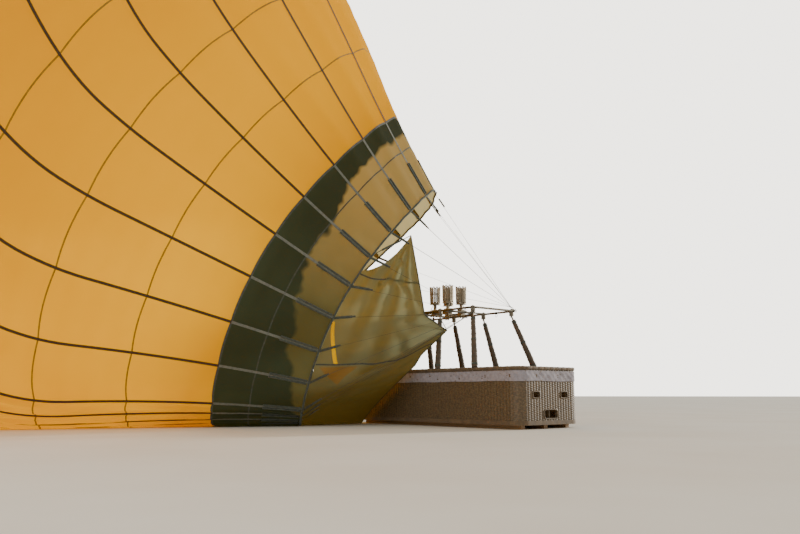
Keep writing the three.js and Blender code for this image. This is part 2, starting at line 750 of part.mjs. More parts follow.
// Partitions: one cross wall and one long wall at each end of the basket.
function addPartitions() {
  const half = PARTITION.thick / 2;
  const insideY = BASKET.width / 2 - BASKET.wall - GAP;
  const insideX = BASKET.length / 2 - BASKET.wall - GAP;
  const low = FLOOR_TOP + GAP;
  for (const [name, side] of [['front', 1], ['rear', -1]]) {
    const x = side * PARTITION.x;
    const cross = block(x - half, x + half, -insideY, insideY, low, PARTITION.top);
    const long = block(Math.min(x, side * insideX), Math.max(x, side * insideX), -half, half, low, PARTITION.top);
    addPiece(`partition_${name}`, fromSolid(join([cross, long])), 'wicker');
  }
}

function addCylinders() {
  const { radius, height, x, y } = CYLINDER;
  const low = FLOOR_TOP + GAP;
  const profile = [
    [0, low], [radius * 0.86, low], [radius, low + 110], [radius, low + height - 180],
    [radius * 0.62, low + height - 70], [radius * 0.62, low + height], [radius * 0.52, low + height],
    [radius * 0.52, low + height - 66], [0, low + height - 50],
  ].map(([r, z]) => new THREE.Vector2(r, z));
  let number = 1;
  for (const sideY of [-1, 1]) {
    for (const sideX of [-1, 1]) {
      const tank = new THREE.LatheGeometry(profile, 12).rotateX(Math.PI / 2);
      addPiece(`gas_cylinder_${number}`, outwards(mergeBare(tank.translate(sideX * x, sideY * y, 0))), 'cylinder');
      number += 1;
    }
  }
}

function mergeBare(geometry) {
  return fromSolid(toSolid(geometry));
}

// Posts and load frame

// Middle of a post's socket in the load frame: on the long side, or on the cut across a corner.
function headPlace({ headX, side }) {
  const inset = Math.abs(headX) === FRAME.halfLength ? FRAME.cut / 2 : 0;
  return new THREE.Vector2(FRAME.x + headX - Math.sign(headX) * inset, side * (FRAME.halfWidth - inset));
}

function addPosts() {
  const footY = BASKET.width / 2 - BASKET.wall / 2;
  for (const place of POSTS) {
    const head = headPlace(place);
    const z0 = RIM_TOP + GAP;
    const z1 = SOCKET.low - GAP;
    const foot = new THREE.Vector2(place.footX, place.side * footY);
    const stations = [[0, POST_RADIUS.foot], [0.5, POST_RADIUS.middle], [1, POST_RADIUS.head]].map(([t, r]) => ({
      x: foot.x + t * (head.x - foot.x),
      y: foot.y + t * (head.y - foot.y),
      z: z0 + t * (z1 - z0),
      rx: r,
      ry: t > 0 ? r : r * 0.9,
    }));
    addPiece(place.name, loft(stations, 10), 'padding');
  }
}

function addLoadFrame() {
  const corners = cutRectangle(FRAME.x, FRAME.halfLength, FRAME.halfWidth, FRAME.cut);
  const parts = [levelLoop(corners, FRAME.high, FRAME.tube)];
  for (const place of POSTS) {
    const head = headPlace(place);
    parts.push(post(head.x, head.y, SOCKET.low, SOCKET.high, SOCKET.radius, 8));
  }
  for (const side of [-1, 1]) {
    const x = FRAME.x + side * CROSSBAR.x;
    parts.push(rod(new THREE.Vector3(x, -FRAME.halfWidth, FRAME.high), new THREE.Vector3(x, FRAME.halfWidth,
      FRAME.high), CROSSBAR.radius));
    parts.push(rod(new THREE.Vector3(x - PIN.bossLength / 2, 0, PIVOT_Z),
      new THREE.Vector3(x + PIN.bossLength / 2, 0, PIVOT_Z), PIN.boss, 10));
  }
  const holes = [];
  for (const side of [-1, 1]) {
    const x = FRAME.x + side * CROSSBAR.x;
    holes.push(rod(new THREE.Vector3(x - PIN.bossLength, 0, PIVOT_Z),
      new THREE.Vector3(x + PIN.bossLength, 0, PIVOT_Z), PIN.hole, 12));
  }
  for (const corner of WIRE_CORNERS) {
    const { diagonal, across, hole } = linkFrame(corner);
    const lug = new THREE.BoxGeometry(LINK.lugReach, 8, 44);
    lug.applyMatrix4(new THREE.Matrix4().makeBasis(diagonal, across, new THREE.Vector3(0, 0, 1)));
    const middle = cornerPlace(corner).addScaledVector(diagonal, LINK.lugReach / 2);
    parts.push(lug.translate(middle.x, middle.y, middle.z));
    holes.push(rod(hole.clone().addScaledVector(across, -30), hole.clone().addScaledVector(across, 30),
      LINK.lugHole, 10));
  }
  addPiece('load_frame', fromSolid(cut(join(parts), holes)), 'steel');
}

// Gimbal ring and burner

function addGimbalRing() {
  const loop = cutRectangle(FRAME.x, GIMBAL.halfX, GIMBAL.halfY, GIMBAL.cut);
  const parts = [levelLoop(loop, PIVOT_Z, GIMBAL.tube)];
  const holes = [];
  for (const side of [-1, 1]) {
    const x0 = FRAME.x + side * GIMBAL.halfX;
    const x1 = FRAME.x + side * (CROSSBAR.x + PIN.bossLength / 2 + 6);
    parts.push(rod(new THREE.Vector3(x0, 0, PIVOT_Z), new THREE.Vector3(x1, 0, PIVOT_Z), PIN.radius, 12));
    const y = side * GIMBAL.halfY;
    const boss = PIN.bossLength / 2;
    parts.push(rod(new THREE.Vector3(FRAME.x, y - boss, PIVOT_Z), new THREE.Vector3(FRAME.x, y + boss, PIVOT_Z),
      PIN.boss, 10));
    holes.push(rod(new THREE.Vector3(FRAME.x, y - boss * 2, PIVOT_Z),
      new THREE.Vector3(FRAME.x, y + boss * 2, PIVOT_Z), PIN.hole, 12));
  }
  addPiece('gimbal_ring', fromSolid(cut(join(parts), holes)), 'steel');
}

const BURNER_PLACES = [[-1, -1], [1, -1], [-1, 1], [1, 1]].map(([sideX, sideY]) => ({
  x: FRAME.x + (sideX * BURNER.pitch) / 2,
  y: (sideY * BURNER.pitch) / 2,
}));

function addBurner() {
  const half = BURNER.block / 2;
  const pinEnd = GIMBAL.halfY + PIN.bossLength / 2 + 6;
  const arm = BURNER.pitch / 2;
  const bar = 18;
  const parts = [
    rod(new THREE.Vector3(FRAME.x, -pinEnd, PIVOT_Z), new THREE.Vector3(FRAME.x, pinEnd, PIVOT_Z), PIN.radius, 12),
    block(FRAME.x - bar, FRAME.x + bar, -arm - half, arm + half, PIVOT_Z - bar, PIVOT_Z + bar),
  ];
  for (const side of [-1, 1]) {
    const y = side * arm;
    parts.push(block(FRAME.x - arm, FRAME.x + arm, y - bar, y + bar, PIVOT_Z - bar, PIVOT_Z + bar));
  }
  for (const { x, y } of BURNER_PLACES) {
    parts.push(block(x - half, x + half, y - half, y + half, BURNER.blockLow, BURNER.blockHigh));
    parts.push(post(x, y, BURNER.blockHigh - 4, BURNER.panLow + 4, 34, 8));
    parts.push(post(x, y, BURNER.panLow, BURNER.panHigh, COIL.radius + COIL.ring, 12));
  }
  addPiece('burner_block', fromSolid(join(parts)), 'burner');
  BURNER_PLACES.forEach(({ x, y }, k) => addCoil(`burner_coil_${k + 1}`, x, y));
}

// A coil is a cage of upright tubes between two flat rings.
function addCoil(name, x, y) {
  const low = BURNER.panHigh + GAP;
  const parts = [coilRing(x, y, low, low + COIL.ring), coilRing(x, y, COIL.top - COIL.ring, COIL.top)];
  for (let k = 0; k < COIL.count; k += 1) {
    const turn = (2 * Math.PI * k) / COIL.count;
    parts.push(post(x + COIL.radius * Math.cos(turn), y + COIL.radius * Math.sin(turn), low + 4, COIL.top - 4,
      COIL.tube, 5));
  }
  addPiece(name, fromSolid(join(parts)), 'burner');
}

function coilRing(x, y, z0, z1) {
  const shape = new THREE.Shape().absarc(0, 0, COIL.radius + COIL.ring, 0, 2 * Math.PI);
  shape.holes.push(new THREE.Path().absarc(0, 0, COIL.radius - COIL.ring, 0, 2 * Math.PI));
  const ring = new THREE.ExtrudeGeometry(shape, { depth: z1 - z0, bevelEnabled: false, curveSegments: 6 });
  return ring.translate(x, y, z0);
}

addGores();
addMouthBand();
addVentPanel();
addCrown();
addWires();
addScoop();
addBasket();
addPartitions();
addCylinders();
addPosts();
addLoadFrame();
addGimbalRing();
addBurner();

export default balloon;
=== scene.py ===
import math

import bpy
import numpy as np
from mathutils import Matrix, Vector


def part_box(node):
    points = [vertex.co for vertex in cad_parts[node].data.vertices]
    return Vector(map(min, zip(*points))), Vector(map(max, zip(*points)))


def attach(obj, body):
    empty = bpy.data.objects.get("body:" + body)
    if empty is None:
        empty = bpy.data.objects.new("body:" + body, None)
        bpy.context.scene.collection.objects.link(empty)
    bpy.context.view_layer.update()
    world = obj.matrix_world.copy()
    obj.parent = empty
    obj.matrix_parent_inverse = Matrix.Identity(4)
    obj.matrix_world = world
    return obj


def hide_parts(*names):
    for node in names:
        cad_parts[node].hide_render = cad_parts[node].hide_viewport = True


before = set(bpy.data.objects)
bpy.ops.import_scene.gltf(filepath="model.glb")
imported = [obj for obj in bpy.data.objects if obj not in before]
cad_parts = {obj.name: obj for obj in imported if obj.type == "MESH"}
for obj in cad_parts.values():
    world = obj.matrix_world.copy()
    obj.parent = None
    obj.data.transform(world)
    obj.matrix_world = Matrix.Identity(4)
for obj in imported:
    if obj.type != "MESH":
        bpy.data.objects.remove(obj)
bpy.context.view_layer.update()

bl_info = {
    "name": "Hot air balloon being filled",
    "version": (1, 0, 0),
    "blender": (4, 5, 0),
    "location": "View3D > Sidebar > Balloon",
    "description": "Dresses the balloon's frame with its envelope, scoop, basket, burner and rigging",
    "category": "Add Mesh",
}

# Envelope, in metres. Its axis heads across the basket and leans up from the ground.
HEADING = 0.868
LEAN = 0.477
GORES = 36
FORWARD = np.array([-math.cos(HEADING), -math.sin(HEADING), 0.0])
AXIS = FORWARD * math.cos(LEAN) + np.array([0.0, 0.0, math.sin(LEAN)])
UP = -FORWARD * math.sin(LEAN) + np.array([0.0, 0.0, math.cos(LEAN)])
NEAR = np.array([math.sin(HEADING), -math.cos(HEADING), 0.0])
MOUTH_CENTRE = np.array([-0.638, 0.466, 2.003]) + FORWARD * 1.893
MOUTH_HALF_HEIGHT = 2.694
START_ANGLE = 0.508
ARCS = [(5.95, 0.75), (8.70, 0.0), (15.01, -1.5)]
CROWN_LENGTH = sum(length for length, _ in ARCS)
BULGE = 0.012
TUCK = 0.45
LIFT = 3.0

BAND_DEPTH = 1.62
SEAM_ROWS = [3.06, 4.5, 5.94, 8.0, 10.4, 13.2, 16.4, 19.8, 23.2]
VENT_EDGE = 26.58
VENT_OVERLAP = 0.4
VENT_UNDER = 0.011

# Basket, posts and frame, in metres.
BASKET_LENGTH = 4.7
BASKET_WIDTH = 1.7
BASKET_CORNER = 0.23
WALL = 0.04
WICKER_LOW = 0.0943
WICKER_TOP = 1.045
RIM_TOP = 1.11
FRAME_X = -0.3
FRAME_Z = 2.27
FRAME_HALF_LENGTH = 1.32
FRAME_HALF_WIDTH = 0.607
FRAME_CUT = 0.11

# Camera of the photograph.
CAMERA_PLACE = (11.561, -11.373, 0.61)
CAMERA_TURN = (math.pi / 2 + 0.161, 0, 0.868)
CAMERA_LENS = 35.28


# Envelope surface

def smooth(value, start, end):
    t = np.clip((np.asarray(value, float) - start) / (end - start), 0, 1)
    return t * t * (3 - 2 * t)


def mix(a, b, t):
    return a + t * (b - a)


def full_turn(count):
    return np.linspace(0, 2 * math.pi, count, endpoint=False)


def circle(middle, radius, count):
    """Points round an upright axis."""
    turns = full_turn(count)
    x, y, z = middle
    return np.stack([x + radius * np.cos(turns), y + radius * np.sin(turns), np.full(count, z)], axis=1)


def squared_off(value, power):
    """A sine or cosine whose curve has a squarer shoulder the lower the power is."""
    return np.sign(value) * np.abs(value) ** power


def profile(length):
    """Half height of the section and distance along the axis, at lengths along a gore."""
    length = np.asarray(length, float)
    radius = np.full(length.shape, MOUTH_HALF_HEIGHT)
    axial = np.zeros(length.shape)
    angle = START_ANGLE
    start = 0.0
    for arc, end_angle in ARCS:
        bend = (end_angle - angle) / arc
        turned = angle + bend * np.clip(length - start, 0, arc)
        radius = radius + (math.cos(angle) - np.cos(turned)) / bend
        axial = axial + (np.sin(turned) - math.sin(angle)) / bend
        angle = end_angle
        start += arc
    return radius, axial


# Round the mouth the gores nearest the top take this angle each, and those past the last one share
# what is left on the ground.
GATHERED_STEP = 0.2535
GATHERED_LAST = 9.5


def gore_angle(length, gore):
    """Angle round the axis of a place counted in gores: gathered at the mouth, even further in."""
    place = (np.asarray(gore, float) + GORES / 2) % GORES - GORES / 2
    count = np.abs(place)
    rest = (math.pi - GATHERED_STEP * GATHERED_LAST) / (GORES / 2 - GATHERED_LAST)
    gathered = (GATHERED_STEP * np.minimum(count, GATHERED_LAST)
                + rest * np.maximum(count - GATHERED_LAST, 0))
    even = 2 * math.pi * count / GORES
    return np.sign(place) * mix(gathered, even, smooth(length, 4.0, 16.0))


def laid_on_ground(z):
    return np.where(z >= TUCK, z, np.where(z <= -TUCK, 0, (z + TUCK) ** 2 / (4 * TUCK)))


def envelope(length, gore):
    """Points of the envelope's outer face, at lengths along the gores and places counted in gores."""
    length, gore = np.broadcast_arrays(np.asarray(length, float), np.asarray(gore, float))
    radius, axial = profile(length)
    angle = gore_angle(length, gore)
    cos, sin = np.cos(angle), np.sin(angle)
    swell = radius * (1 + BULGE * np.abs(np.cos(math.pi * gore)))
    width = mix(0.85, 1, smooth(length, 6, 15))
    power = mix(0.65, 1, smooth(length, 5, 15))
    peak = 0.218 * (1 - smooth(length, 2.5, 10.5)) * np.maximum(cos, 0) ** 3
    hollow = 0.3 * smooth(length, 4, 9) * (1 - smooth(length, 13, 22)) * (cos < 0)
    swept = (0.447 + 0.132 * length + 0.65 * (angle < 0)) * sin ** 2 * (1 - smooth(length, 6, 18))
    lift = LIFT * smooth(length, 5, 14)
    up = lift + swell * cos * (1 + peak) * (1 - hollow)
    side = swell * width * squared_off(sin, power)
    points = (MOUTH_CENTRE + (axial + swept)[..., None] * AXIS + up[..., None] * UP
              + side[..., None] * NEAR)
    points[..., 2] = laid_on_ground(points[..., 2])
    return points


def unit(vectors):
    return vectors / np.maximum(np.linalg.norm(vectors, axis=-1, keepdims=True), 1e-9)


def envelope_out(length, gore):
    """Directions out of the envelope."""
    length, gore = np.broadcast_arrays(np.asarray(length, float), np.asarray(gore, float))
    along = envelope(length + 0.16, gore) - envelope(np.maximum(length - 0.16, 0), gore)
    across = envelope(length, gore + 0.5) - envelope(length, gore - 0.5)
    return unit(np.cross(along, across))


def folds(length, gore):
    """Height of the cloth's folds: puckers beside the tapes, long soft folds at the crest and foot."""
    free = np.abs(np.cos(math.pi * gore))
    place = np.abs((gore + GORES / 2) % GORES - GORES / 2)
    near_tape = free * (1 - free) * 4
    puckers = 0.010 * near_tape * np.sin(2 * math.pi * (length / 0.42 + 0.13 * np.floor(gore + 0.5)))
    crest = (1 - smooth(place, 2.2, 4.5)) * (1 - smooth(length, 5, 11))
    foot = smooth(place, 8, 10.5) * (1 - smooth(length, 6, 14))
    long_folds = np.sin(2 * math.pi * (2.0 * gore + 0.25 * np.sin(0.9 * length)))
    cross_folds = np.sin(2 * math.pi * (length / 1.9 + 1.3 * gore))
    at_foot = foot * (0.03 * long_folds + 0.02 * cross_folds)
    return free * (puckers + 0.022 * crest * long_folds + at_foot)


def cloth(length, gore, out=0.0):
    length, gore = np.broadcast_arrays(np.asarray(length, float), np.asarray(gore, float))
    rise = folds(length, gore) - 0.005 + out
    points = envelope(length, gore) + rise[..., None] * envelope_out(length, gore)
    points[..., 2] = np.maximum(points[..., 2], 0.003 + max(out, 0))
    return points


# Meshes

def new_object(name, vertices, faces, material):
    mesh = bpy.data.meshes.new(name)
    mesh.from_pydata([tuple(map(float, v)) for v in vertices], [], faces)
    mesh.validate()
    mesh.materials.append(material)
    mesh.shade_smooth()
    made = bpy.data.objects.new(name, mesh)
    bpy.context.scene.collection.objects.link(made)
    return made


def grid_faces(rows, columns, start=0, closed=False, closed_rows=False):
    faces = []
    for i in range(rows if closed_rows else rows - 1):
        for j in range(columns if closed else columns - 1):
            a = start + i * columns + j
            b = start + i * columns + (j + 1) % columns
            c = start + ((i + 1) % rows) * columns + (j + 1) % columns
            d = start + ((i + 1) % rows) * columns + j
            faces.append((a, b, c, d))
    return faces


class Pile:
    """Vertices and faces of several shapes that become one piece."""

    def __init__(self):
        self.vertices = []
        self.faces = []

    def grid(self, points, closed=False, closed_rows=False):
        rows, columns = points.shape[:2]
        self.faces += grid_faces(rows, columns, len(self.vertices), closed, closed_rows)
        self.vertices += list(points.reshape(-1, 3))

    def cap(self, ring, flip=False):
        start = len(self.vertices)
        self.vertices += list(ring)
        face = tuple(range(start, start + len(ring)))
        self.faces.append(face[::-1] if flip else face)

    def tube(self, line, radius, sides=10, closed=False):
        """A round tube along a line; radius is a number or one for each point."""
        line = np.asarray(line, float)
        radii = np.broadcast_to(np.asarray(radius, float), (len(line),))
        ahead = np.roll(line, -1, axis=0) - line
        behind = line - np.roll(line, 1, axis=0)
        if not closed:
            ahead[-1] = behind[-1]
            behind[0] = ahead[0]
        tangent = unit(unit(ahead) + unit(behind))
        side = np.cross(tangent[0], [0.31, 0.17, 0.93])
        if np.linalg.norm(side) < 0.1:
            side = np.cross(tangent[0], [1, 0, 0])
        rings = []
        turns = full_turn(sides)
        for point, way, size in zip(line, tangent, radii):
            side = unit(side - way * np.dot(side, way))
            other = np.cross(way, side)
            rings.append(point + size * (np.cos(turns)[:, None] * side + np.sin(turns)[:, None] * other))
        rings = np.array(rings)
        self.grid(rings, closed=True, closed_rows=closed)
        if not closed:
            self.cap(rings[0], flip=True)
            self.cap(rings[-1])

    def lathe(self, profile_points, place, sides=24, axis="Z"):
        """A turned shape from (radius, height) pairs, standing at a place."""
        rings = []
        for radius, height in profile_points:
            ring = circle((0, 0, height), radius, sides)
            if axis == "X":
                ring = ring[:, [2, 0, 1]]
            rings.append(ring + np.asarray(place, float))
        rings = np.array(rings)
        self.grid(rings, closed=True)
        self.cap(rings[0], flip=True)
        self.cap(rings[-1])

    def ribbon(self, line, out, width, columns=3):
        """A flat strip along a line, facing out."""
        line, out = np.asarray(line, float), np.asarray(out, float)
        side = unit(np.cross(np.gradient(line, axis=0), out))
        spread = np.linspace(-width / 2, width / 2, columns)
        self.grid(line[:, None, :] + spread[None, :, None] * side[:, None, :])

    def make(self, name, material):
        return new_object(name, self.vertices, self.faces, material)


def shade_by_angle(made, degrees=35):
    made.data.set_sharp_from_angle(angle=math.radians(degrees))
    return made


def dress(made, body, slot, *replaced):
    """The last words about a piece: its body and the nodes it stands for. The slot is not used."""
    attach(made, body)
    if replaced:
        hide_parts(*replaced)
    return made


ROOT = "envelope_and_basket"


# Materials

def linear(colour):
    """An sRGB hex colour as a linear one; a setting's colour is linear already."""
    if not isinstance(colour, str):
        return (*colour, 1.0)
    values = [int(colour[k:k + 2], 16) / 255 for k in (1, 3, 5)]
    return tuple(v / 12.92 if v <= 0.04045 else ((v + 0.055) / 1.055) ** 2.4 for v in values) + (1.0,)


def add_node(tree, kind, settings=None, inputs=None):
    """Adds a node; a socket given as an input is linked, and anything else is set."""
    made = tree.nodes.new(kind)
    for key, value in (settings or {}).items():
        setattr(made, key, value)
    for key, value in (inputs or {}).items():
        socket = made.inputs[key]
        if isinstance(value, bpy.types.NodeSocket):
            tree.links.new(value, socket)
        else:
            socket.default_value = value
    return made


def new_material(name):
    material = bpy.data.materials.new(name)
    material.use_nodes = True
    material.node_tree.nodes.clear()
    return material, material.node_tree


def object_place(tree, scale):
    place = add_node(tree, "ShaderNodeTexCoord")
    return add_node(tree, "ShaderNodeMapping", {}, {"Vector": place.outputs["Object"], "Scale": scale})


def two_tone(tree, fac, first, second):
    """Mixes two colours, each given as a hex, a setting or a colour made by other nodes."""
    blend = add_node(tree, "ShaderNodeMix", {"data_type": "RGBA"}, {"Factor": fac})
    for key, colour in ((6, first), (7, second)):
        if isinstance(colour, bpy.types.NodeSocket):
            tree.links.new(colour, blend.inputs[key])
        else:
            blend.inputs[key].default_value = linear(colour)
    return blend.outputs[2]


def patchy_colour(tree, colour, other, scale):
    """Two colours mixed by soft noise whose patches are about scale metres across."""
    place = object_place(tree, (1 / scale,) * 3)
    noise = add_node(tree, "ShaderNodeTexNoise", {}, {
        "Vector": place.outputs[0], "Scale": 1.0, "Detail": 4.0})
    ramp = add_node(tree, "ShaderNodeMapRange", {}, {
        "Value": noise.outputs["Fac"], "From Min": 0.35, "From Max": 0.65})
    return two_tone(tree, ramp.outputs[0], colour, other)


def fine_bump(tree, scale, strength, distance):
    place = object_place(tree, (1 / scale,) * 3)
    noise = add_node(tree, "ShaderNodeTexNoise", {}, {
        "Vector": place.outputs[0], "Scale": 1.0, "Detail": 3.0})
    return add_node(tree, "ShaderNodeBump", {}, {
        "Height": noise.outputs["Fac"], "Strength": strength, "Distance": distance}).outputs[0]


def finish_with(tree, shader):
    add_node(tree, "ShaderNodeOutputMaterial", {}, {"Surface": shader})


def light_through(tree, colour, glow, through, bump, roughness, gloss):
    """Thin cloth: part of the light comes through it from behind, in the glow's colour."""
    face = add_node(tree, "ShaderNodeBsdfPrincipled", {}, {
        "Base Color": colour, "Roughness": roughness, "IOR": 1.5,
        "Specular IOR Level": gloss, "Normal": bump})
    back = add_node(tree, "ShaderNodeBsdfTranslucent", {}, {"Color": glow, "Normal": bump})
    both = add_node(tree, "ShaderNodeMixShader", {}, {
        "Fac": through, 1: face.outputs[0], 2: back.outputs[0]})
    finish_with(tree, both.outputs[0])


def yellow_nylon():
    # Rip-resistant nylon, polyurethane coated: an even satin yellow that glows when lit from behind.
    # Its 5 mm check is too fine to show, so the bump is drawn at 30 mm.
    material, tree = new_material("coated_yellow_nylon")
    tone = patchy_colour(tree, cloth_settings().yellow, "#e2ae00", 2.6)
    light_through(tree, tone, linear("#ffcc00"), 0.6, fine_bump(tree, 0.03, 0.2, 0.002), 0.65, 0.08)
    return material


def band_cloth():
    # Flame-resistant aramid weave at the mouth, with painted light in its colour and glow: dull green
    # grey beside the yellow, which is the doubled cloth's own dark tone with painted shade on it, and
    # khaki near the edge, which is painted sunlight coming through the single cloth, brightest at the
    # top and painted darker towards the ground. The lit strip narrows to nothing at the ground.
    # The weave is under 1 mm, so its bump is drawn at 12 mm.
    material, tree = new_material("aramid_mouth_cloth")
    pattern = add_node(tree, "ShaderNodeUVMap", {"uv_map": "gore_and_length"}).outputs[0]
    parts = add_node(tree, "ShaderNodeSeparateXYZ", {}, {0: pattern})
    border = add_node(tree, "ShaderNodeMapRange", {}, {
        "Value": parts.outputs[0], "From Min": 3.0, "From Max": 12.5, "To Min": 1.25, "To Max": -0.25})
    rest = add_node(tree, "ShaderNodeMath", {"operation": "SUBTRACT"}, {
        0: border.outputs[0], 1: parts.outputs[1]})
    noise = add_node(tree, "ShaderNodeTexNoise", {}, {"Vector": pattern, "Scale": 1.6, "Detail": 2.0})
    wavy = add_node(tree, "ShaderNodeMath", {"operation": "MULTIPLY_ADD"}, {
        0: noise.outputs["Fac"], 1: 0.5, 2: -0.25})
    summed = add_node(tree, "ShaderNodeMath", {"operation": "ADD"}, {
        0: rest.outputs[0], 1: wavy.outputs[0]})
    # Painted light: 1 on the khaki strip of painted sunlight, 0 on the painted shade beside the yellow.
    lit_strip = add_node(tree, "ShaderNodeMapRange", {}, {
        "Value": summed.outputs[0], "From Min": -0.03, "From Max": 0.05}).outputs[0]
    # Painted shade: the khaki strip is painted darker towards the ground, from gore 3.5 to 6.5.
    down = add_node(tree, "ShaderNodeMapRange", {}, {
        "Value": parts.outputs[0], "From Min": 3.5, "From Max": 6.5}).outputs[0]
    # Both the tone and the glow carry the painted sunlight and the painted shade.
    tone = two_tone(tree, lit_strip, cloth_settings().band, two_tone(tree, down, "#a1986c", "#5c5f42"))
    glow = two_tone(tree, lit_strip, "#3f5040", two_tone(tree, down, "#d2c792", "#6d7150"))
    light_through(tree, tone, glow, 0.5, fine_bump(tree, 0.012, 0.3, 0.002), 0.85, 0.1)
    return material


def scoop_cloth():
    # The same single weave, lighter, with a creased matt face, and painted light in its colour and glow:
    # painted shade darker towards the ground, where no sun comes through it, a painted brown patch of
    # light from the yellow cloth lying close behind it, and a painted slit of sunlit yellow.
    # The bump stands for small creases 20 mm apart, since the weave itself is too fine to show.
    material, tree = new_material("aramid_scoop_cloth")
    place = object_place(tree, (1.0, 1.0, 1.0)).outputs[0]
    height = add_node(tree, "ShaderNodeSeparateXYZ", {}, {0: place}).outputs[2]
    # Painted shade: the scoop is painted darker towards the ground, below 2.3 m.
    high = add_node(tree, "ShaderNodeMapRange", {}, {
        "Value": height, "From Min": 0.5, "From Max": 2.3}).outputs[0]
    inside = add_node(tree, "ShaderNodeUVMap", {"uv_map": "painted_light_slit_and_patch"}).outputs[0]
    inside = add_node(tree, "ShaderNodeSeparateXYZ", {}, {0: inside})
    # Painted light: a slit of sunlit yellow, and under it a brown patch of light from the yellow cloth
    # close behind.
    sunlit_slit = add_node(tree, "ShaderNodeMapRange", {}, {
        "Value": inside.outputs[0], "From Min": 0.0, "From Max": 0.005}).outputs[0]
    patch = add_node(tree, "ShaderNodeMapRange", {}, {
        "Value": inside.outputs[1], "From Min": 0.0, "From Max": 0.02, "To Max": 0.8}).outputs[0]
    # Tone and glow: painted shade by height, then the painted patch of light and the painted sunlit
    # slit.
    tone = two_tone(tree, high, "#5c5b42", patchy_colour(tree, cloth_settings().scoop, "#7c7d5c", 0.8))
    tone = two_tone(tree, sunlit_slit, two_tone(tree, patch, tone, "#735a34"), "#ffc400")
    glow = two_tone(tree, high, "#66694e", "#a6a884")
    glow = two_tone(tree, sunlit_slit, two_tone(tree, patch, glow, "#8f7644"), "#ffe000")
    light_through(tree, tone, glow, 0.6, fine_bump(tree, 0.02, 0.3, 0.002), 0.9, 0.03)
    return material


def woven_strap(name, colour, other):
    # Woven polyester webbing: matt, with ribs 2 mm apart drawn at 8 mm to show.
    material, tree = new_material(name)
    tone = patchy_colour(tree, colour, other, 0.05)
    bump = fine_bump(tree, 0.008, 0.5, 0.001)
    face = add_node(tree, "ShaderNodeBsdfPrincipled", {}, {
        "Base Color": tone, "Roughness": 0.85, "Sheen Weight": 0.2, "Normal": bump})
    finish_with(tree, face.outputs[0])
    return material


def willow_cane():
    # Varnished willow and cane: brown strands that differ from one to the next, a little gloss on top.
    # The strands are 6 mm thick, which is the bump's scale, and their colour changes every 30 to 40 mm.
    material, tree = new_material("varnished_willow")
    place = object_place(tree, (1 / 0.04, 1 / 0.04, 1 / 0.03))
    noise = add_node(tree, "ShaderNodeTexNoise", {}, {
        "Vector": place.outputs[0], "Scale": 1.0, "Detail": 3.0})
    ramp = add_node(tree, "ShaderNodeValToRGB", {}, {"Fac": noise.outputs["Fac"]})
    ramp.color_ramp.elements[0].position = 0.32
    ramp.color_ramp.elements[0].color = linear(basket_settings().willow_dark)
    ramp.color_ramp.elements[1].position = 0.68
    ramp.color_ramp.elements[1].color = linear(basket_settings().willow_light)
    bump = fine_bump(tree, 0.006, 0.4, 0.001)
    face = add_node(tree, "ShaderNodeBsdfPrincipled", {}, {
        "Base Color": ramp.outputs["Color"], "Roughness": 0.5, "Coat Weight": 0.15,
        "Coat Roughness": 0.4, "Normal": bump})
    finish_with(tree, face.outputs[0])
    return material


def suede_hide(name, colour, other):
    # Worn hide: fine pebbled grain, paler where hands and boots rub it. The grain is about 1 mm and is
    # drawn at 4 mm to show.
    material, tree = new_material(name)
    tone = patchy_colour(tree, colour, other, 0.09)
    bump = fine_bump(tree, 0.004, 0.5, 0.0012)
    face = add_node(tree, "ShaderNodeBsdfPrincipled", {}, {
        "Base Color": tone, "Roughness": 0.7, "Sheen Weight": 0.25, "Normal": bump})
    finish_with(tree, face.outputs[0])
    return material


def plain_metal(name, colour, other, roughness, patch):
    # Drawn, brushed, cast or spun metal: even colour, with faint smears from handling and heat. The
    # tool marks are under 0.1 mm and are drawn at 2 mm to show.
    material, tree = new_material(name)
    tone = patchy_colour(tree, colour, other, patch)
    bump = fine_bump(tree, 0.002, 0.15, 0.0004)
    face = add_node(tree, "ShaderNodeBsdfPrincipled", {}, {
        "Base Color": tone, "Metallic": 1.0, "Roughness": roughness, "Normal": bump})
    finish_with(tree, face.outputs[0])
    return material


def varnished_wood():
    # Birch ply and ash runners under clear varnish: straight grain 6 mm apart along the basket.
    material, tree = new_material("varnished_ash")
    place = object_place(tree, (1 / 0.4, 1 / 0.006, 1 / 0.006))
    noise = add_node(tree, "ShaderNodeTexNoise", {}, {
        "Vector": place.outputs[0], "Scale": 1.0, "Detail": 4.0})
    ramp = add_node(tree, "ShaderNodeValToRGB", {}, {"Fac": noise.outputs["Fac"]})
    ramp.color_ramp.elements[0].color = linear("#7b5b36")
    ramp.color_ramp.elements[1].color = linear("#b08a58")
    face = add_node(tree, "ShaderNodeBsdfPrincipled", {}, {
        "Base Color": ramp.outputs["Color"], "Roughness": 0.45, "Coat Weight": 0.3})
    finish_with(tree, face.outputs[0])
    return material


def rubber_hose():
    # Black nitrile hose: satin, slightly dusty.
    material, tree = new_material("nitrile_hose")
    tone = patchy_colour(tree, "#23211f", "#3a3632", 0.05)
    face = add_node(tree, "ShaderNodeBsdfPrincipled", {}, {"Base Color": tone, "Roughness": 0.6})
    finish_with(tree, face.outputs[0])
    return material


def pale_floor():
    # Smooth matt screed, mottled so faintly that only its shadows are seen.
    material, tree = new_material("pale_floor")
    tone = patchy_colour(tree, stage_settings().floor, "#e2dccf", 3.0)
    face = add_node(tree, "ShaderNodeBsdfPrincipled", {}, {"Base Color": tone, "Roughness": 0.9})
    finish_with(tree, face.outputs[0])
    return material


MATERIALS = {}


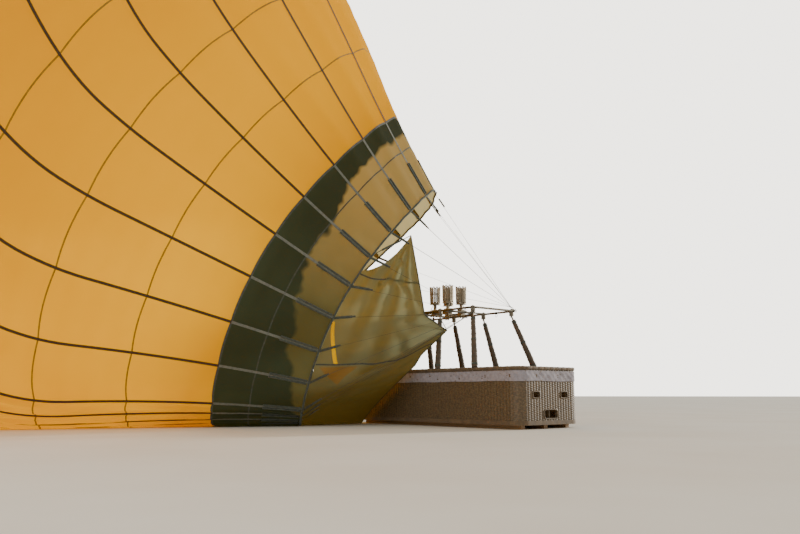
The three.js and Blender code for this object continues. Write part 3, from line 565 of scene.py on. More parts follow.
def finish(name):
    """One of the balloon's materials, made when it is first asked for."""
    makers = {
        "yellow": yellow_nylon,
        "band": band_cloth,
        "scoop": scoop_cloth,
        # Painted shade: no light comes through the tapes, so their grey webbing is painted dark brown
        # against the lit cloth.
        "tape": lambda: woven_strap("shaded_polyester_load_tape", cloth_settings().tape, "#4a3616"),
        # Painted shade: four layers of the yellow nylon let less light through, so the seam is painted a
        # darker yellow than the cloth.
        "seam": lambda: woven_strap("shaded_felled_nylon_seam", "#9a7400", "#7d5e00"),
        # Faded grey webbing on the dark mouth cloth.
        "band_tape": lambda: woven_strap("grey_load_tape", "#74776d", "#63665d"),
        # Dark green grey webbing and cord: hems, sleeves, straps and laces.
        "edge": lambda: woven_strap("dark_edge_webbing", "#4c5349", "#3c423a"),
        # Plain woven polyester, grey with a touch of violet in the shade.
        "banner": lambda: woven_strap("grey_banner_cloth", basket_settings().banner, "#8f8990"),
        "wicker": willow_cane,
        "hide": lambda: suede_hide("worn_suede", basket_settings().hide, "#6b563a"),
        # Darker brown hide, laced round the posts' foam.
        "padding": lambda: suede_hide("dark_hide_cover", "#4a3d2e", "#584a38"),
        # Blue grey hide over the cylinders' foam.
        "jacket": lambda: suede_hide("blue_grey_hide", "#2f3a44", "#3b4854"),
        "steel": lambda: plain_metal("brushed_stainless", "#7b7568", "#6a6458", 0.45, 0.15),
        # Many thin strands scatter the light, so wire looks rougher and darker than a tube.
        "wire": lambda: plain_metal("stranded_stainless", "#6b6a64", "#55544f", 0.6, 0.02),
        # Stainless tube and sheet, tinted straw by the flame.
        "burner": lambda: plain_metal("heat_tinted_stainless", "#a89d8a", "#8d8270", 0.45, 0.06),
        # Cast valves, dulled by handling.
        "brass": lambda: plain_metal("cast_brass", "#917b4e", "#7e6a42", 0.45, 0.05),
        # Bare spun shells: bright and the smoothest of the metals.
        "cylinder": lambda: plain_metal("spun_aluminium", "#cfd2d4", "#c0c4c7", 0.35, 0.3),
        "wood": varnished_wood,
        "hose": rubber_hose,
        "floor": pale_floor,
    }
    if name not in MATERIALS:
        MATERIALS[name] = makers[name]()
    return MATERIALS[name]


# Settings

def colour_setting(name, description, hex_colour):
    return bpy.props.FloatVectorProperty(name=name, description=description, subtype="COLOR", size=3,
                                         min=0, max=1, default=linear(hex_colour)[:3])


def length_setting(name, description, default):
    return bpy.props.FloatProperty(name=name, description=description, subtype="DISTANCE", unit="LENGTH",
                                   min=0.0005, default=default)


class ClothSettings(bpy.types.PropertyGroup):
    """Cloth, seams and tapes of the envelope and scoop."""

    yellow: colour_setting("Yellow", "Coated nylon of the gores", "#eebb00")
    # The mouth band's colour is the doubled cloth's dark tone, with painted shade in it.
    band: colour_setting("Mouth band", "Doubled flame-resistant cloth round the mouth", "#3a4238")
    scoop: colour_setting("Scoop", "Flame-resistant cloth of the scoop", "#8a8a66")
    # Load tapes: grey webbing painted dark brown, as painted shade against the lit cloth.
    tape: colour_setting("Tapes", "Load tapes on the yellow cloth", "#3a2a10")
    seam_width: length_setting("Seam width", "Width of a felled seam across a gore", 0.024)
    tape_width: length_setting("Tape width", "Width of a load tape", 0.05)
    row_step: length_setting("Row step", "Spacing of the cloth's rows along a gore", 0.13)
    gore_columns: bpy.props.IntProperty(name="Columns", description="Cloth columns in one gore",
                                        min=2, default=8)


class BasketSettings(bpy.types.PropertyGroup):
    """Weave, rim and covers of the basket."""

    willow_dark: colour_setting("Dark willow", "Darker strands of the weave", "#4a3b29")
    willow_light: colour_setting("Light willow", "Lighter strands of the weave", "#6e5a3d")
    banner: colour_setting("Banner", "Cloth band round the top of the basket", "#a09aa3")
    hide: colour_setting("Rim hide", "Hide over the padded rim", "#57452f")
    stake_pitch: length_setting("Stake pitch", "Spacing of the upright stakes", 0.075)
    strand_pitch: length_setting("Strand pitch", "Height of one row of weaving", 0.02)
    weave_depth: length_setting("Weave depth", "How far a strand stands out over a stake", 0.007)


class StageSettings(bpy.types.PropertyGroup):
    """Floor and light."""

    floor: colour_setting("Floor", "Plain pale floor", "#e8e4da")
    sky: colour_setting("Backdrop", "Plain warm white backdrop", "#f3efe6")
    sun: bpy.props.FloatProperty(name="Back light", min=0, default=3.0,
                                 description="Strength of the light behind the balloon")
    glow: bpy.props.FloatProperty(name="Inner glow", min=0, subtype="POWER", default=520,
                                  description="Soft light inside the envelope, in watts")


def cloth_settings():
    return bpy.context.scene.balloon_cloth


def basket_settings():
    return bpy.context.scene.balloon_basket


def stage_settings():
    return bpy.context.scene.balloon_stage


# Envelope pieces

def gore_range(start, end):
    columns = cloth_settings().gore_columns
    return np.linspace(start, end, int(round((end - start) * columns)) + 1)


def row_range(start, end, step=None):
    step = step or cloth_settings().row_step
    return np.linspace(start, end, int(math.ceil((end - start) / step)) + 1)


def cloth_piece(name, rows, gores, material):
    """A sheet of the envelope; its pattern counts gores from the top and metres along them."""
    points = cloth(rows[:, None], gores[None, :])
    faces = grid_faces(len(rows), len(gores))
    made = new_object(name, points.reshape(-1, 3), faces, material)
    pattern = made.data.uv_layers.new(name="gore_and_length")
    counts = np.abs((gores + GORES / 2) % GORES - GORES / 2)
    places = [(float(g), float(s)) for s in rows for g in counts]
    for loop in made.data.loops:
        pattern.data[loop.index].uv = places[loop.vertex_index]
    return made, points


def build_gores():
    rows = row_range(BAND_DEPTH, VENT_EDGE)
    for k in range(9):
        start = -2.5 + 4 * k
        gores = gore_range(start, start + 4)
        made, points = cloth_piece(f"gore_cloth_{k + 1}", rows, gores, finish("yellow"))
        dress(made, ROOT, "yellow_fabric", f"gores_{k + 1}")


def build_mouth_band():
    rows = row_range(0, BAND_DEPTH, 0.06)
    for k, side in enumerate(["top", "near", "far"]):
        start = -6.5 + 12 * k
        gores = gore_range(start, start + 12)
        made, points = cloth_piece(f"band_cloth_{side}", rows, gores, finish("band"))
        dress(made, ROOT, "band_fabric", f"mouth_band_{side}")


def on_axis(length):
    _, axial = profile(np.array([length]))
    return MOUTH_CENTRE + AXIS * axial[0] + UP * LIFT


# Where the vent's last row of cloth before its tip lies.
VENT_LAST_ROW = 28.9


def build_vent():
    rows = row_range(VENT_EDGE - VENT_OVERLAP, VENT_LAST_ROW, 0.15)
    gores = gore_range(0.5, GORES + 0.5)[:-1]
    points = envelope(rows[:, None], gores[None, :])
    points = points - (VENT_UNDER + 0.001) * envelope_out(rows[:, None], gores[None, :])
    tip = on_axis(CROWN_LENGTH) - AXIS * VENT_UNDER
    rings = [points[k] for k in range(len(rows))]
    rings += [mix(points[-1], tip, t) for t in (0.4, 0.75, 0.97)]
    pile = Pile()
    pile.grid(np.array(rings), closed=True)
    pile.cap(rings[-1])
    made = pile.make("vent_cloth", finish("yellow"))
    dress(made, "vent", "yellow_fabric", "parachute_vent")


# Seams, tapes and edges: how high each lies over the cloth, and sizes in metres.
SEAM_RISE = 0.004
BORDER_RISE = 0.005
TAPE_RISE = 0.014
BAND_TAPE_RISE = 0.012
SLEEVE_RISE = 0.02
HEM_RADIUS = 0.02
BAND_SEAM_AT = 0.97
SLEEVE_SPAN = (0.06, 0.74)
SLEEVE_APART = 0.032
SLEEVE_RADIUS = 0.019
STRAP_WIDTH = 0.05
# How far the wires' lugs stand out from the load frame's cut corners.
LUG_REACH = 0.082


def tape_line(gore, start, end, step=0.16, out=TAPE_RISE):
    rows = row_range(start, end, step)
    return cloth(rows, np.full(rows.shape, gore), out), envelope_out(rows, np.full(rows.shape, gore))


def seam_strip(pile, gores, row, half_width, rise):
    """A flat strip round the envelope at one length along the gores."""
    edges = [cloth(np.full(gores.shape, row + hand * half_width), gores, rise) for hand in (-1, 1)]
    pile.grid(np.array(edges), closed=True)


def build_seams():
    width = cloth_settings().seam_width
    gores = gore_range(-GORES / 2, GORES / 2)[:-1]
    pile = Pile()
    for row in SEAM_ROWS:
        seam_strip(pile, gores, row, width / 2, SEAM_RISE)
    dress(pile.make("panel_seams", finish("seam")), ROOT, "yellow_fabric")
    pile = Pile()
    seam_strip(pile, gores, BAND_DEPTH, 0.02, BORDER_RISE)
    seam_strip(pile, gores, BAND_SEAM_AT, 0.012, SEAM_RISE)
    dress(pile.make("band_seams", finish("edge")), ROOT, "band_fabric")


def build_tapes():
    width = cloth_settings().tape_width
    upper, lower = Pile(), Pile()
    for k in range(GORES):
        gore = k + 0.5
        line, out = tape_line(gore, BAND_DEPTH, VENT_EDGE)
        upper.ribbon(line, out, width)
        line, out = tape_line(gore, 0.0, BAND_DEPTH, 0.1, BAND_TAPE_RISE)
        lower.ribbon(line, out, width)
    dress(upper.make("load_tapes", finish("tape")), ROOT, "load_tape")
    dress(lower.make("band_tapes", finish("band_tape")), ROOT, "load_tape")


def corner_hole(gore):
    """Lug of the load frame that the wire from a tape runs to."""
    place = (gore + 4.5) % GORES
    x, y = [(1, 1), (1, -1), (-1, -1), (-1, 1)][int(place // 9)]
    reach = LUG_REACH / math.sqrt(2)
    return np.array([FRAME_X + x * (FRAME_HALF_LENGTH - FRAME_CUT / 2 + reach),
                     y * (FRAME_HALF_WIDTH - FRAME_CUT / 2 + reach), FRAME_Z])


def build_edges():
    """Hem of the mouth, and at each tape a pair of grey sleeves and a strap end past the hem."""
    gores = gore_range(-GORES / 2, GORES / 2)[:-1]
    hem = Pile()
    hem.tube(cloth(np.full(gores.shape, 0.015), gores, TAPE_RISE), HEM_RADIUS, sides=8, closed=True)
    dress(hem.make("mouth_hem", finish("edge")), ROOT, "load_tape")
    sleeves, straps = Pile(), Pile()
    for k in range(GORES):
        gore = k + 0.5
        line, out = tape_line(gore, *SLEEVE_SPAN, 0.08, SLEEVE_RISE)
        across = unit(np.cross(np.gradient(line, axis=0), out))
        for hand in (-SLEEVE_APART, SLEEVE_APART):
            sleeves.tube(line + hand * across, SLEEVE_RADIUS, sides=8)
        rim = cloth(np.array([0.0]), np.array([gore]), 0.01)[0]
        way = unit(corner_hole(gore) - rim)
        if rim[2] < 0.1:
            continue
        start = cloth(np.array([0.1]), np.array([gore]), 0.01)[0]
        face = envelope_out(np.array([0.0]), np.array([gore]))[0]
        stations = [start, rim] + [rim + way * t for t in (0.1, 0.2, 0.34)]
        straps.ribbon(np.array(stations), np.tile(face, (5, 1)), STRAP_WIDTH)
        straps.tube([rim + way * 0.18, rim + way * 0.4], 0.017, sides=8)
    dress(sleeves.make("tape_sleeves", finish("edge")), ROOT, "load_tape")
    dress(straps.make("strap_ends", finish("edge")), ROOT, "load_tape")


# Scoop

# Its free edge: the gore at the mouth that each point hangs from, and the point's place.
SCOOP_EDGE = [
    (5, 0.027, -1.318, 3.73), (6.5, 0.127, -1.15, 2.62), (8, 0.19, -1.0, 1.62),
    (9.5, -0.28, -0.95, 1.18), (11, -0.95, -0.95, 0.78), (12.5, -1.65, -0.96, 0.31),
    (14, -2.0, -0.98, 0.0), (17, -2.65, -1.01, 0.0), (19, -2.87, -0.7, 0.0),
    (23, -2.91, 0.0, 0.25), (27, -2.79, 0.6, 1.7), (31, -2.506, 0.828, 3.73),
]
SCOOP_START, SCOOP_END = 5, 31
SCOOP_COLUMNS = 12
SCOOP_ROWS = 41

# Two seams down each half of the scoop: places from the mouth to its free edge, the gore at each.
SCOOP_SEAMS = [((0.0, 0.6, 1.0), (5.1, 5.6, 6.3)), ((0.0, 0.4, 0.65, 1.0), (7.9, 7.92, 8.1, 8.4))]

# The free edge is pulled out at one gore by a tie to a post.
TIE_GORE = 8.0
TIE_PULL = (0.38, 0.13, 0.21)
TIE_POST = (0.115, -0.63, 2.13)


def painted_light_slit_and_patch(rows, gores):
    """How far inside the painted slit of sunlit yellow by the hem, and inside the painted brown patch of
    light under it, each point lies, in rows.
    """
    row, gore = rows[:, None], gores[None, :]
    along = (gore - 6.58) / 1.34
    sunlit_slit = np.minimum(0.02 - np.abs(row - 0.175 * along), 0.3 * np.minimum(along, 1 - along))
    down = (gore - 7.95) / 0.88
    patch = np.minimum(row - 0.02 - 0.23 * down, 0.38 - 0.13 * down - row)
    return sunlit_slit, np.minimum(patch, 0.3 * np.minimum(down, 1 - down))


def between(grid, columns):
    """One point of each row of a grid, at a fractional column."""
    rows = np.arange(len(grid))
    low = np.floor(columns).astype(int)
    part = (columns - low)[:, None]
    return grid[rows, low] * (1 - part) + grid[rows, np.minimum(low + 1, grid.shape[1] - 1)] * part


def scoop_points(rows, gores):
    table = np.array(SCOOP_EDGE)
    edge = np.stack([np.interp(gores, table[:, 0], table[:, k]) for k in (1, 2, 3)], axis=-1)
    mouth = envelope(np.zeros(gores.shape), gores)
    mouth = mouth + 0.014 * unit(edge - mouth)
    t = rows[:, None, None]
    points = mouth[None] + t * (edge - mouth)[None]
    hang = np.sin(math.pi * rows)[:, None]
    points[..., 2] -= 0.18 * hang * smooth(points[..., 2], 0.2, 1.5)
    across = np.gradient(points, axis=1)
    along = np.gradient(points, axis=0)
    out = unit(np.cross(along, across))
    out = np.where(out[..., 2:] > 0, -out, out)
    loose = hang * smooth(points[..., 2], 0.1, 0.9)
    near_edge = smooth(rows, 0.35, 1.0)[:, None]
    wave = 0.024 * np.sin(2 * math.pi * gores * 1.15)[None] * loose
    wave = wave + 0.02 * np.sin(2 * math.pi * (gores * 2.3 + 0.2))[None] * near_edge * loose
    wave = wave + 0.015 * np.sin(2 * math.pi * (rows[:, None] * 3.1 + gores[None] * 0.37)) * loose
    away = points - np.array(SCOOP_EDGE[0][1:])
    beside = -(away[..., 0] * 0.646 + away[..., 1] * 0.763)
    spread = np.arctan2(beside, -away[..., 2] + 0.05)
    reach = np.linalg.norm(away, axis=-1)
    rays = np.sin(26 * spread) * np.minimum(reach / 0.7, 1) * np.exp(-reach / 1.6)
    wave = wave + 0.05 * rays * np.minimum(hang + near_edge, 1) * (1 - smooth(rows, 0.93, 1.0))[:, None]
    points = points + wave[..., None] * out
    pull = np.clip(1 - np.abs(gores - TIE_GORE) / 0.8, 0, 1)[None] * smooth(rows, 0.68, 1.0)[:, None]
    points = points + pull[..., None] * np.array(TIE_PULL)
    points[..., 2] = np.maximum(points[..., 2], 0.004)
    return points, out


def build_scoop():
    rows = np.linspace(0, 1, SCOOP_ROWS)
    gores = np.linspace(SCOOP_START, SCOOP_END, (SCOOP_END - SCOOP_START) * SCOOP_COLUMNS + 1)
    points, out = scoop_points(rows, gores)
    faces = grid_faces(len(rows), len(gores))
    made = new_object("scoop_cloth", points.reshape(-1, 3), faces, finish("scoop"))
    dress(made, ROOT, "scoop_fabric", "scoop")
    # Painted light: the slit and patch fields go to the material through this map.
    pattern = made.data.uv_layers.new(name="painted_light_slit_and_patch")
    sunlit_slit, patch = (field.ravel() for field in painted_light_slit_and_patch(rows, gores))
    for loop in made.data.loops:
        pattern.data[loop.index].uv = sunlit_slit[loop.vertex_index], patch[loop.vertex_index]
    trim = Pile()
    edge = points[-1].copy()
    edge[:, 2] = np.maximum(edge[:, 2], 0.012)
    trim.tube(edge, 0.011, sides=6)
    for places, route in SCOOP_SEAMS:
        for line_gores in (np.interp(rows, places, route), GORES - np.interp(rows, places, route)):
            columns = (line_gores - SCOOP_START) * SCOOP_COLUMNS
            line = between(points, columns)
            face = unit(between(out, columns))
            trim.ribbon(line + 0.005 * face, face, 0.03)
    toggle = cloth(np.array([0.05]), np.array([4.5]), 0.01)[0]
    corner = points[-1, 0]
    trim.tube(mix(corner, toggle, np.linspace(0, 1, 8)[:, None]), 0.008, sides=6)
    trim.tube([mix(corner, toggle, 0.25), mix(corner, toggle, 0.7)], 0.02, sides=8)
    pulled = points[-1, int(round((TIE_GORE - SCOOP_START) * SCOOP_COLUMNS))]
    trim.tube([pulled, np.array(TIE_POST)], 0.008, sides=6)
    seams = trim.make("scoop_seams", finish("edge"))
    dress(seams, ROOT, "scoop_fabric")


# Basket

def basket_outline(out, count):
    """Points round the basket at a distance outside its wicker, anticlockwise, with their ways out."""
    half = (BASKET_LENGTH / 2, BASKET_WIDTH / 2)
    straight = [2 * (size - BASKET_CORNER) for size in half]
    arc = math.pi / 2 * BASKET_CORNER
    total = 2 * sum(straight) + 4 * arc
    points, ways = [], []
    for k in range(count):
        s = total * k / count
        side = 0
        while s >= straight[side % 2] + arc:
            s -= straight[side % 2] + arc
            side += 1
        ahead, across = half[side % 2], half[1 - side % 2]
        if s < straight[side % 2]:
            way = np.array([0.0, -1.0])
            local = np.array([s - straight[side % 2] / 2, -across])
        else:
            angle = (s - straight[side % 2]) / BASKET_CORNER - math.pi / 2
            way = np.array([math.cos(angle), math.sin(angle)])
            local = np.array([ahead - BASKET_CORNER, BASKET_CORNER - across]) + BASKET_CORNER * way
        spin = math.pi / 2 * side
        turned = np.array([[math.cos(spin), -math.sin(spin)], [math.sin(spin), math.cos(spin)]])
        points.append(turned @ (local + out * way))
        ways.append(turned @ way)
    return np.array(points), np.array(ways)


# Footholes in the front wall: y and z of the middle, width and height. All lie past this x.
FOOTHOLES = [(-0.39, 0.602, 0.19, 0.115), (0.39, 0.602, 0.19, 0.115), (0.0, 0.26, 0.37, 0.16)]
FOOTHOLES_PAST = 2.2


def basket_length_round():
    return 2 * (BASKET_LENGTH + BASKET_WIDTH) - 8 * BASKET_CORNER + 2 * math.pi * BASKET_CORNER


def in_foothole(point):
    x, y, z = point
    return x > FOOTHOLES_PAST and any(abs(y - hy) < wide / 2 and abs(z - hz) < high / 2
                                      for hy, hz, wide, high in FOOTHOLES)


def woven_wall(pile, out, facing, stakes, row_count, depth):
    """One face of the wicker: strands that go over one stake and under the next."""
    count = stakes * 4
    outline, ways = basket_outline(out, count)
    heights = np.linspace(WICKER_LOW, WICKER_TOP, row_count * 2 + 1)
    start = len(pile.vertices)
    places = []
    for i, z in enumerate(heights):
        row, middle = i // 2, i % 2
        swing = np.cos(math.pi * (np.arange(count) / 4 + row))
        rib = 0.6 * depth * np.cos(math.pi / 2 * np.arange(count))
        rise = (depth * (0.5 + 0.5 * swing) if middle else np.zeros(count)) - depth * 0.6 + rib
        points = outline + facing * rise[:, None] * ways
        places.append(np.column_stack([points, np.full(count, z)]))
    places = np.array(places)
    faces = grid_faces(len(heights), count, start, closed=True)
    flat = places.reshape(-1, 3)
    kept = []
    for face in faces:
        middle = sum(flat[v - start] for v in face) / 4
        if not in_foothole(middle):
            kept.append(face if facing > 0 else face[::-1])
    pile.vertices += list(flat)
    pile.faces += kept


def build_wicker():
    options = basket_settings()
    stakes = 2 * int(round(basket_length_round() / options.stake_pitch / 2))
    strands = int(round((WICKER_TOP - WICKER_LOW) / options.strand_pitch))
    pile = Pile()
    woven_wall(pile, 0.0, 1, stakes, strands, options.weave_depth)
    woven_wall(pile, -WALL, -1, stakes // 2, strands // 2, options.weave_depth)
    made = pile.make("wicker_weave", finish("wicker"))
    walls = [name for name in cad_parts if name.startswith("basket_wicker")]
    dress(made, ROOT, "wicker", *walls)
    borders = Pile()
    end = BASKET_LENGTH / 2
    for y, z, wide, high in FOOTHOLES:
        turns = full_turn(40)
        shape = [(y + wide / 2 * squared_off(math.cos(t), 0.35),
                  z + high / 2 * squared_off(math.sin(t), 0.35)) for t in turns]
        for x in (end - 0.001, end - WALL + 0.001):
            borders.tube([(x, a, b) for a, b in shape], 0.011, sides=8, closed=True)
        rings = np.array([[(x, a, b) for a, b in shape] for x in (end, end - WALL)])
        borders.grid(rings, closed=True)
    dress(borders.make("foothole_borders", finish("wicker")), ROOT, "wicker")
    stake_ends = Pile()
    outline, _ = basket_outline(-WALL / 2, stakes)
    for x, y in outline:
        stake_ends.tube([(x, y, WICKER_TOP - 0.06), (x, y, WICKER_TOP - 0.001)], 0.007, sides=6)
    dress(stake_ends.make("stake_tops", finish("wicker")), ROOT, "wicker")


def swept_ring(pile, count, section, wave=None):
    """A section of (out, height) pairs swept round the basket."""
    outline, ways = basket_outline(0.0, count)
    rings = []
    for k in range(count):
        s = k / count * basket_length_round()
        ring = []
        for n, (out, z) in enumerate(section):
            shift = wave(s, n) if wave else 0.0
            x, y = outline[k] + (out + shift) * ways[k]
            ring.append((x, y, z))
        rings.append(ring)
    pile.grid(np.array(rings), closed=True, closed_rows=True)


LACE_PITCH = 0.16


def build_rim():
    """Hide-covered roll on top of the walls, drawn in by its lacing."""
    low, high = WICKER_TOP + 0.0005, RIM_TOP - 0.002
    middle_out, half_out = -WALL / 2, WALL / 2 + 0.02
    section = []
    for t in full_turn(16):
        section.append((middle_out + half_out * squared_off(math.cos(t), 0.7),
                        (low + high) / 2 + (high - low) / 2 * squared_off(math.sin(t), 0.75)))
    centre = np.array([middle_out, (low + high) / 2])

    def lacing(s, n):
        pinch = math.exp(-(((s / LACE_PITCH) % 1 - 0.5) * 9) ** 2)
        return -0.006 * pinch * np.sign(section[n][0] - centre[0])

    pile = Pile()
    swept_ring(pile, 620, section, lacing)
    made = pile.make("rim_roll", finish("hide"))
    dress(made, ROOT, "hide", "rim_padding")
    laces = Pile()
    count = int(basket_length_round() / LACE_PITCH)
    outline, ways = basket_outline(0.0, count)
    for k in range(count):
        loop = []
        for t in full_turn(12):
            out = middle_out + (half_out - 0.002) * squared_off(math.cos(t), 0.7)
            z = centre[1] + ((high - low) / 2 + 0.0015) * squared_off(math.sin(t), 0.75)
            loop.append((*(outline[k] + out * ways[k]), z))
        laces.tube(loop, 0.0025, sides=5, closed=True)
    dress(laces.make("rim_lacing", finish("edge")), ROOT, "hide")


# Section of the base hide, as pairs of out and height; heights of the banner.
BASE_HIDE = [(0.0015, 0.074), (0.0045, 0.073), (0.0055, 0.111), (0.005, 0.149), (0.0015, 0.148)]
BANNER_LOW, BANNER_HIGH = 0.8455, 1.0295


def build_bands():
    """Hide round the foot of the basket, and the plain cloth band round its top."""
    pile = Pile()
    swept_ring(pile, 420, BASE_HIDE, lambda s, n: 0.0008 * math.sin(s * 31 + n))
    made = dress(pile.make("base_band", finish("hide")), ROOT, "hide", "base_hide")
    shade_by_angle(made)
    rows = np.linspace(BANNER_LOW, BANNER_HIGH, 13)
    count = 900
    outline, ways = basket_outline(0.0, count)
    s = np.arange(count) / count * basket_length_round()
    points = []
    for z in rows:
        t = (z - BANNER_LOW) / (BANNER_HIGH - BANNER_LOW)
        free = math.sin(math.pi * t) ** 0.6 if 0 < t < 1 else 0
        wave = 0.009 + free * (0.006 * np.sin(s * 9.7 + 3 * t) + 0.005 * np.sin(s * 21 - 5 * t)
                               + 0.003 * np.sin(s * 43 + 9 * t))
        drop = 0.004 * np.sin(s * 6.1) * (1 - t)
        points.append(np.column_stack([outline + wave[:, None] * ways, np.full(count, z) - drop]))
    points = np.array(points)
    pile = Pile()
    pile.grid(points, closed=True)
    made = dress(pile.make("banner_cloth", finish("banner")), ROOT, "banner_fabric", "banner")
    eyelets = Pile()
    for k in range(0, count, 30):
        way = np.array([*ways[k], 0])
        for row in (0, -1):
            place = points[row, k] + way * 0.002 + np.array([0, 0, 0.012 if row == 0 else -0.012])
            eyelets.tube([place - way * 0.006, place + way * 0.0015], 0.008, sides=8)
    dress(eyelets.make("banner_eyelets", finish("brass")), ROOT, "banner_fabric")


# Hide rolls on the partitions: how far along the basket the cross walls stand, and the rolls' size.
PARTITION_X = 0.52
ROLL_HEIGHT = 1.003
ROLL_RADIUS = 0.026


def build_partition_tops():
    pile = Pile()
    inside_x = BASKET_LENGTH / 2 - WALL - 0.03
    inside_y = BASKET_WIDTH / 2 - WALL - 0.03
    for side in (-1, 1):
        x = side * PARTITION_X
        across = [(x, y, ROLL_HEIGHT) for y in np.linspace(-inside_y, inside_y, 60)]
        along = [(v, 0, ROLL_HEIGHT) for v in np.linspace(x, side * inside_x, 60)]
        for line in (across, along):
            pile.tube(line, ROLL_RADIUS, sides=10)
    made = dress(pile.make("partition_rolls", finish("hide")), ROOT, "hide")


# Posts, frame and burner

# A post's name, where its foot stands along the basket, where its head meets the frame, and its side.
POSTS = [
    ("near_front", 1.26, 1.32, -1), ("near_front_mid", 0.255, 0.4, -1),
    ("near_rear_mid", -0.74, -0.48, -1), ("near_rear", -1.735, -1.32, -1),
    ("far_front", 1.3, 1.32, 1), ("far_front_mid", 0.29, 0.435, 1),
    ("far_rear_mid", -0.715, -0.45, 1), ("far_rear", -1.72, -1.32, 1),
]
SOCKET_LOW = 2.17
COVER_END = 0.92


def post_ends(foot_x, head_x, side):
    inset = FRAME_CUT / 2 if abs(head_x) == FRAME_HALF_LENGTH else 0
    foot = np.array([foot_x, side * (BASKET_WIDTH / 2 - WALL / 2), RIM_TOP + 0.001])
    head = np.array([FRAME_X + head_x - math.copysign(inset, head_x), side * (FRAME_HALF_WIDTH - inset),
                     SOCKET_LOW - 0.001])
    return foot, head


def build_posts():
    """Padded covers on the posts, each with a laced seam, and the bare rod above it."""
    straps = Pile()
    for name, foot_x, head_x, side in POSTS:
        foot, head = post_ends(foot_x, head_x, side)
        way = unit(head - foot)
        span = np.linalg.norm(head - foot)
        first = unit(np.cross(way, [1.0, 0.2, 0.0]))
        second = np.cross(way, first)
        turns = full_turn(24)
        round_way = np.cos(turns)[:, None] * first + np.sin(turns)[:, None] * second
        rings = []
        for t in np.linspace(0, COVER_END, 74):
            base = mix(0.0625, 0.043, t) if t > 0.02 else 0.057
            creases = 0.0022 * math.sin(t * 61 + foot_x * 7) + 0.0016 * math.sin(t * 137 + foot_x)
            cuffs = (-0.006 * math.exp(-((t - 0.9) / 0.012) ** 2)
                     - 0.005 * math.exp(-((t - 0.035) / 0.01) ** 2))
            spread = base + creases + cuffs + 0.0015 * np.sin(3 * turns + t * 18)
            seam = -0.005 * np.exp(-((turns - math.pi) / 0.16) ** 2)
            rings.append(foot + way * span * t + (spread + seam)[:, None] * round_way)
        rings.append(mix(rings[-1], foot + way * span * COVER_END, 0.55) + way * 0.006)
        pile = Pile()
        pile.grid(np.array(rings), closed=True)
        pile.cap(rings[0], flip=True)
        pile.cap(rings[-1])
        cover = pile.make(f"post_cover_{name}", finish("padding"))
        dress(cover, ROOT, "post_padding", f"post_{name}")
        rod = Pile()
        rod.tube([foot + way * span * 0.9, head], 0.017, sides=16)
        rod.lathe([(0.020, 0), (0.020, 0.03)], head + np.array([0, 0, -0.03]), 16)
        dress(rod.make(f"post_rod_{name}", finish("steel")), ROOT, "frame_steel")
        for t in (0.05, 0.5, 0.88):
            centre = foot + way * span * t
            size = mix(0.066, 0.047, t)
            straps.tube([centre - way * 0.016, centre + way * 0.016], size, sides=24)
            buckle = centre + first * size
            straps.tube([buckle - way * 0.014, buckle + way * 0.014], 0.008, sides=6)
    dress(straps.make("post_straps", finish("edge")), ROOT, "post_padding")


# Strap loops on the load frame: place along it and side, and the ring that hangs in each.
LOOP_PLACES = [(0.72, -1), (0.8, 1), (-1.1, 1), (-1.2, -1)]
LOOP_RADIUS = 0.0245
LOOP_HALF_WIDTH = 0.02
RING_RADIUS = 0.03
RING_DROP = 0.052


def dress_frame():
    """Clamps, bolts and strap rings on the load frame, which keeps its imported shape."""
    paint_nodes({"load_frame": "steel", "gimbal_ring": "steel"})
    fittings = Pile()
    for _, foot_x, head_x, side in POSTS:
        _, head = post_ends(foot_x, head_x, side)
        for z in (SOCKET_LOW + 0.022, SOCKET_LOW + 0.108):
            fittings.lathe([(0.047, -0.005), (0.0495, -0.003), (0.0495, 0.003), (0.047, 0.005)],
                           (head[0], head[1], z), 24)
        fittings.lathe([(0.03, 0), (0.03, 0.006), (0.012, 0.008), (0.012, 0.016), (0.006, 0.018)],
                       (head[0], head[1], SOCKET_LOW + 0.13), 16)
        out = np.array([0, side, 0])
        bolt = np.array([head[0], head[1], SOCKET_LOW + 0.06])
        fittings.tube([bolt + out * 0.044, bolt + out * 0.053], 0.009, sides=6)
    dress(shade_by_angle(fittings.make("frame_fittings", finish("steel"))), ROOT, "frame_steel")
    strap = Pile()
    turns = full_turn(16)
    for place, side in LOOP_PLACES:
        x, y = FRAME_X + place, side * FRAME_HALF_WIDTH
        edges = [[(x + shift, y + LOOP_RADIUS * math.cos(t), FRAME_Z + LOOP_RADIUS * math.sin(t))
                  for t in turns] for shift in (-LOOP_HALF_WIDTH, LOOP_HALF_WIDTH)]
        strap.grid(np.array(edges), closed=True)
        ring = [(x + RING_RADIUS * math.cos(t), y, FRAME_Z - RING_DROP + RING_RADIUS * math.sin(t))
                for t in turns]
        strap.tube(ring, 0.004, sides=6, closed=True)
    dress(strap.make("frame_loops", finish("edge")), ROOT, "frame_steel")


BURNER_PLACES = [(FRAME_X + sx * 0.1925, sy * 0.1925) for sy in (-1, 1) for sx in (-1, 1)]
PAN_TOP = 2.4863
COIL_TOP = 2.85
COIL_RUNS = 18
COIL_TUBE = 0.0105
JET_RADIUS = 0.055


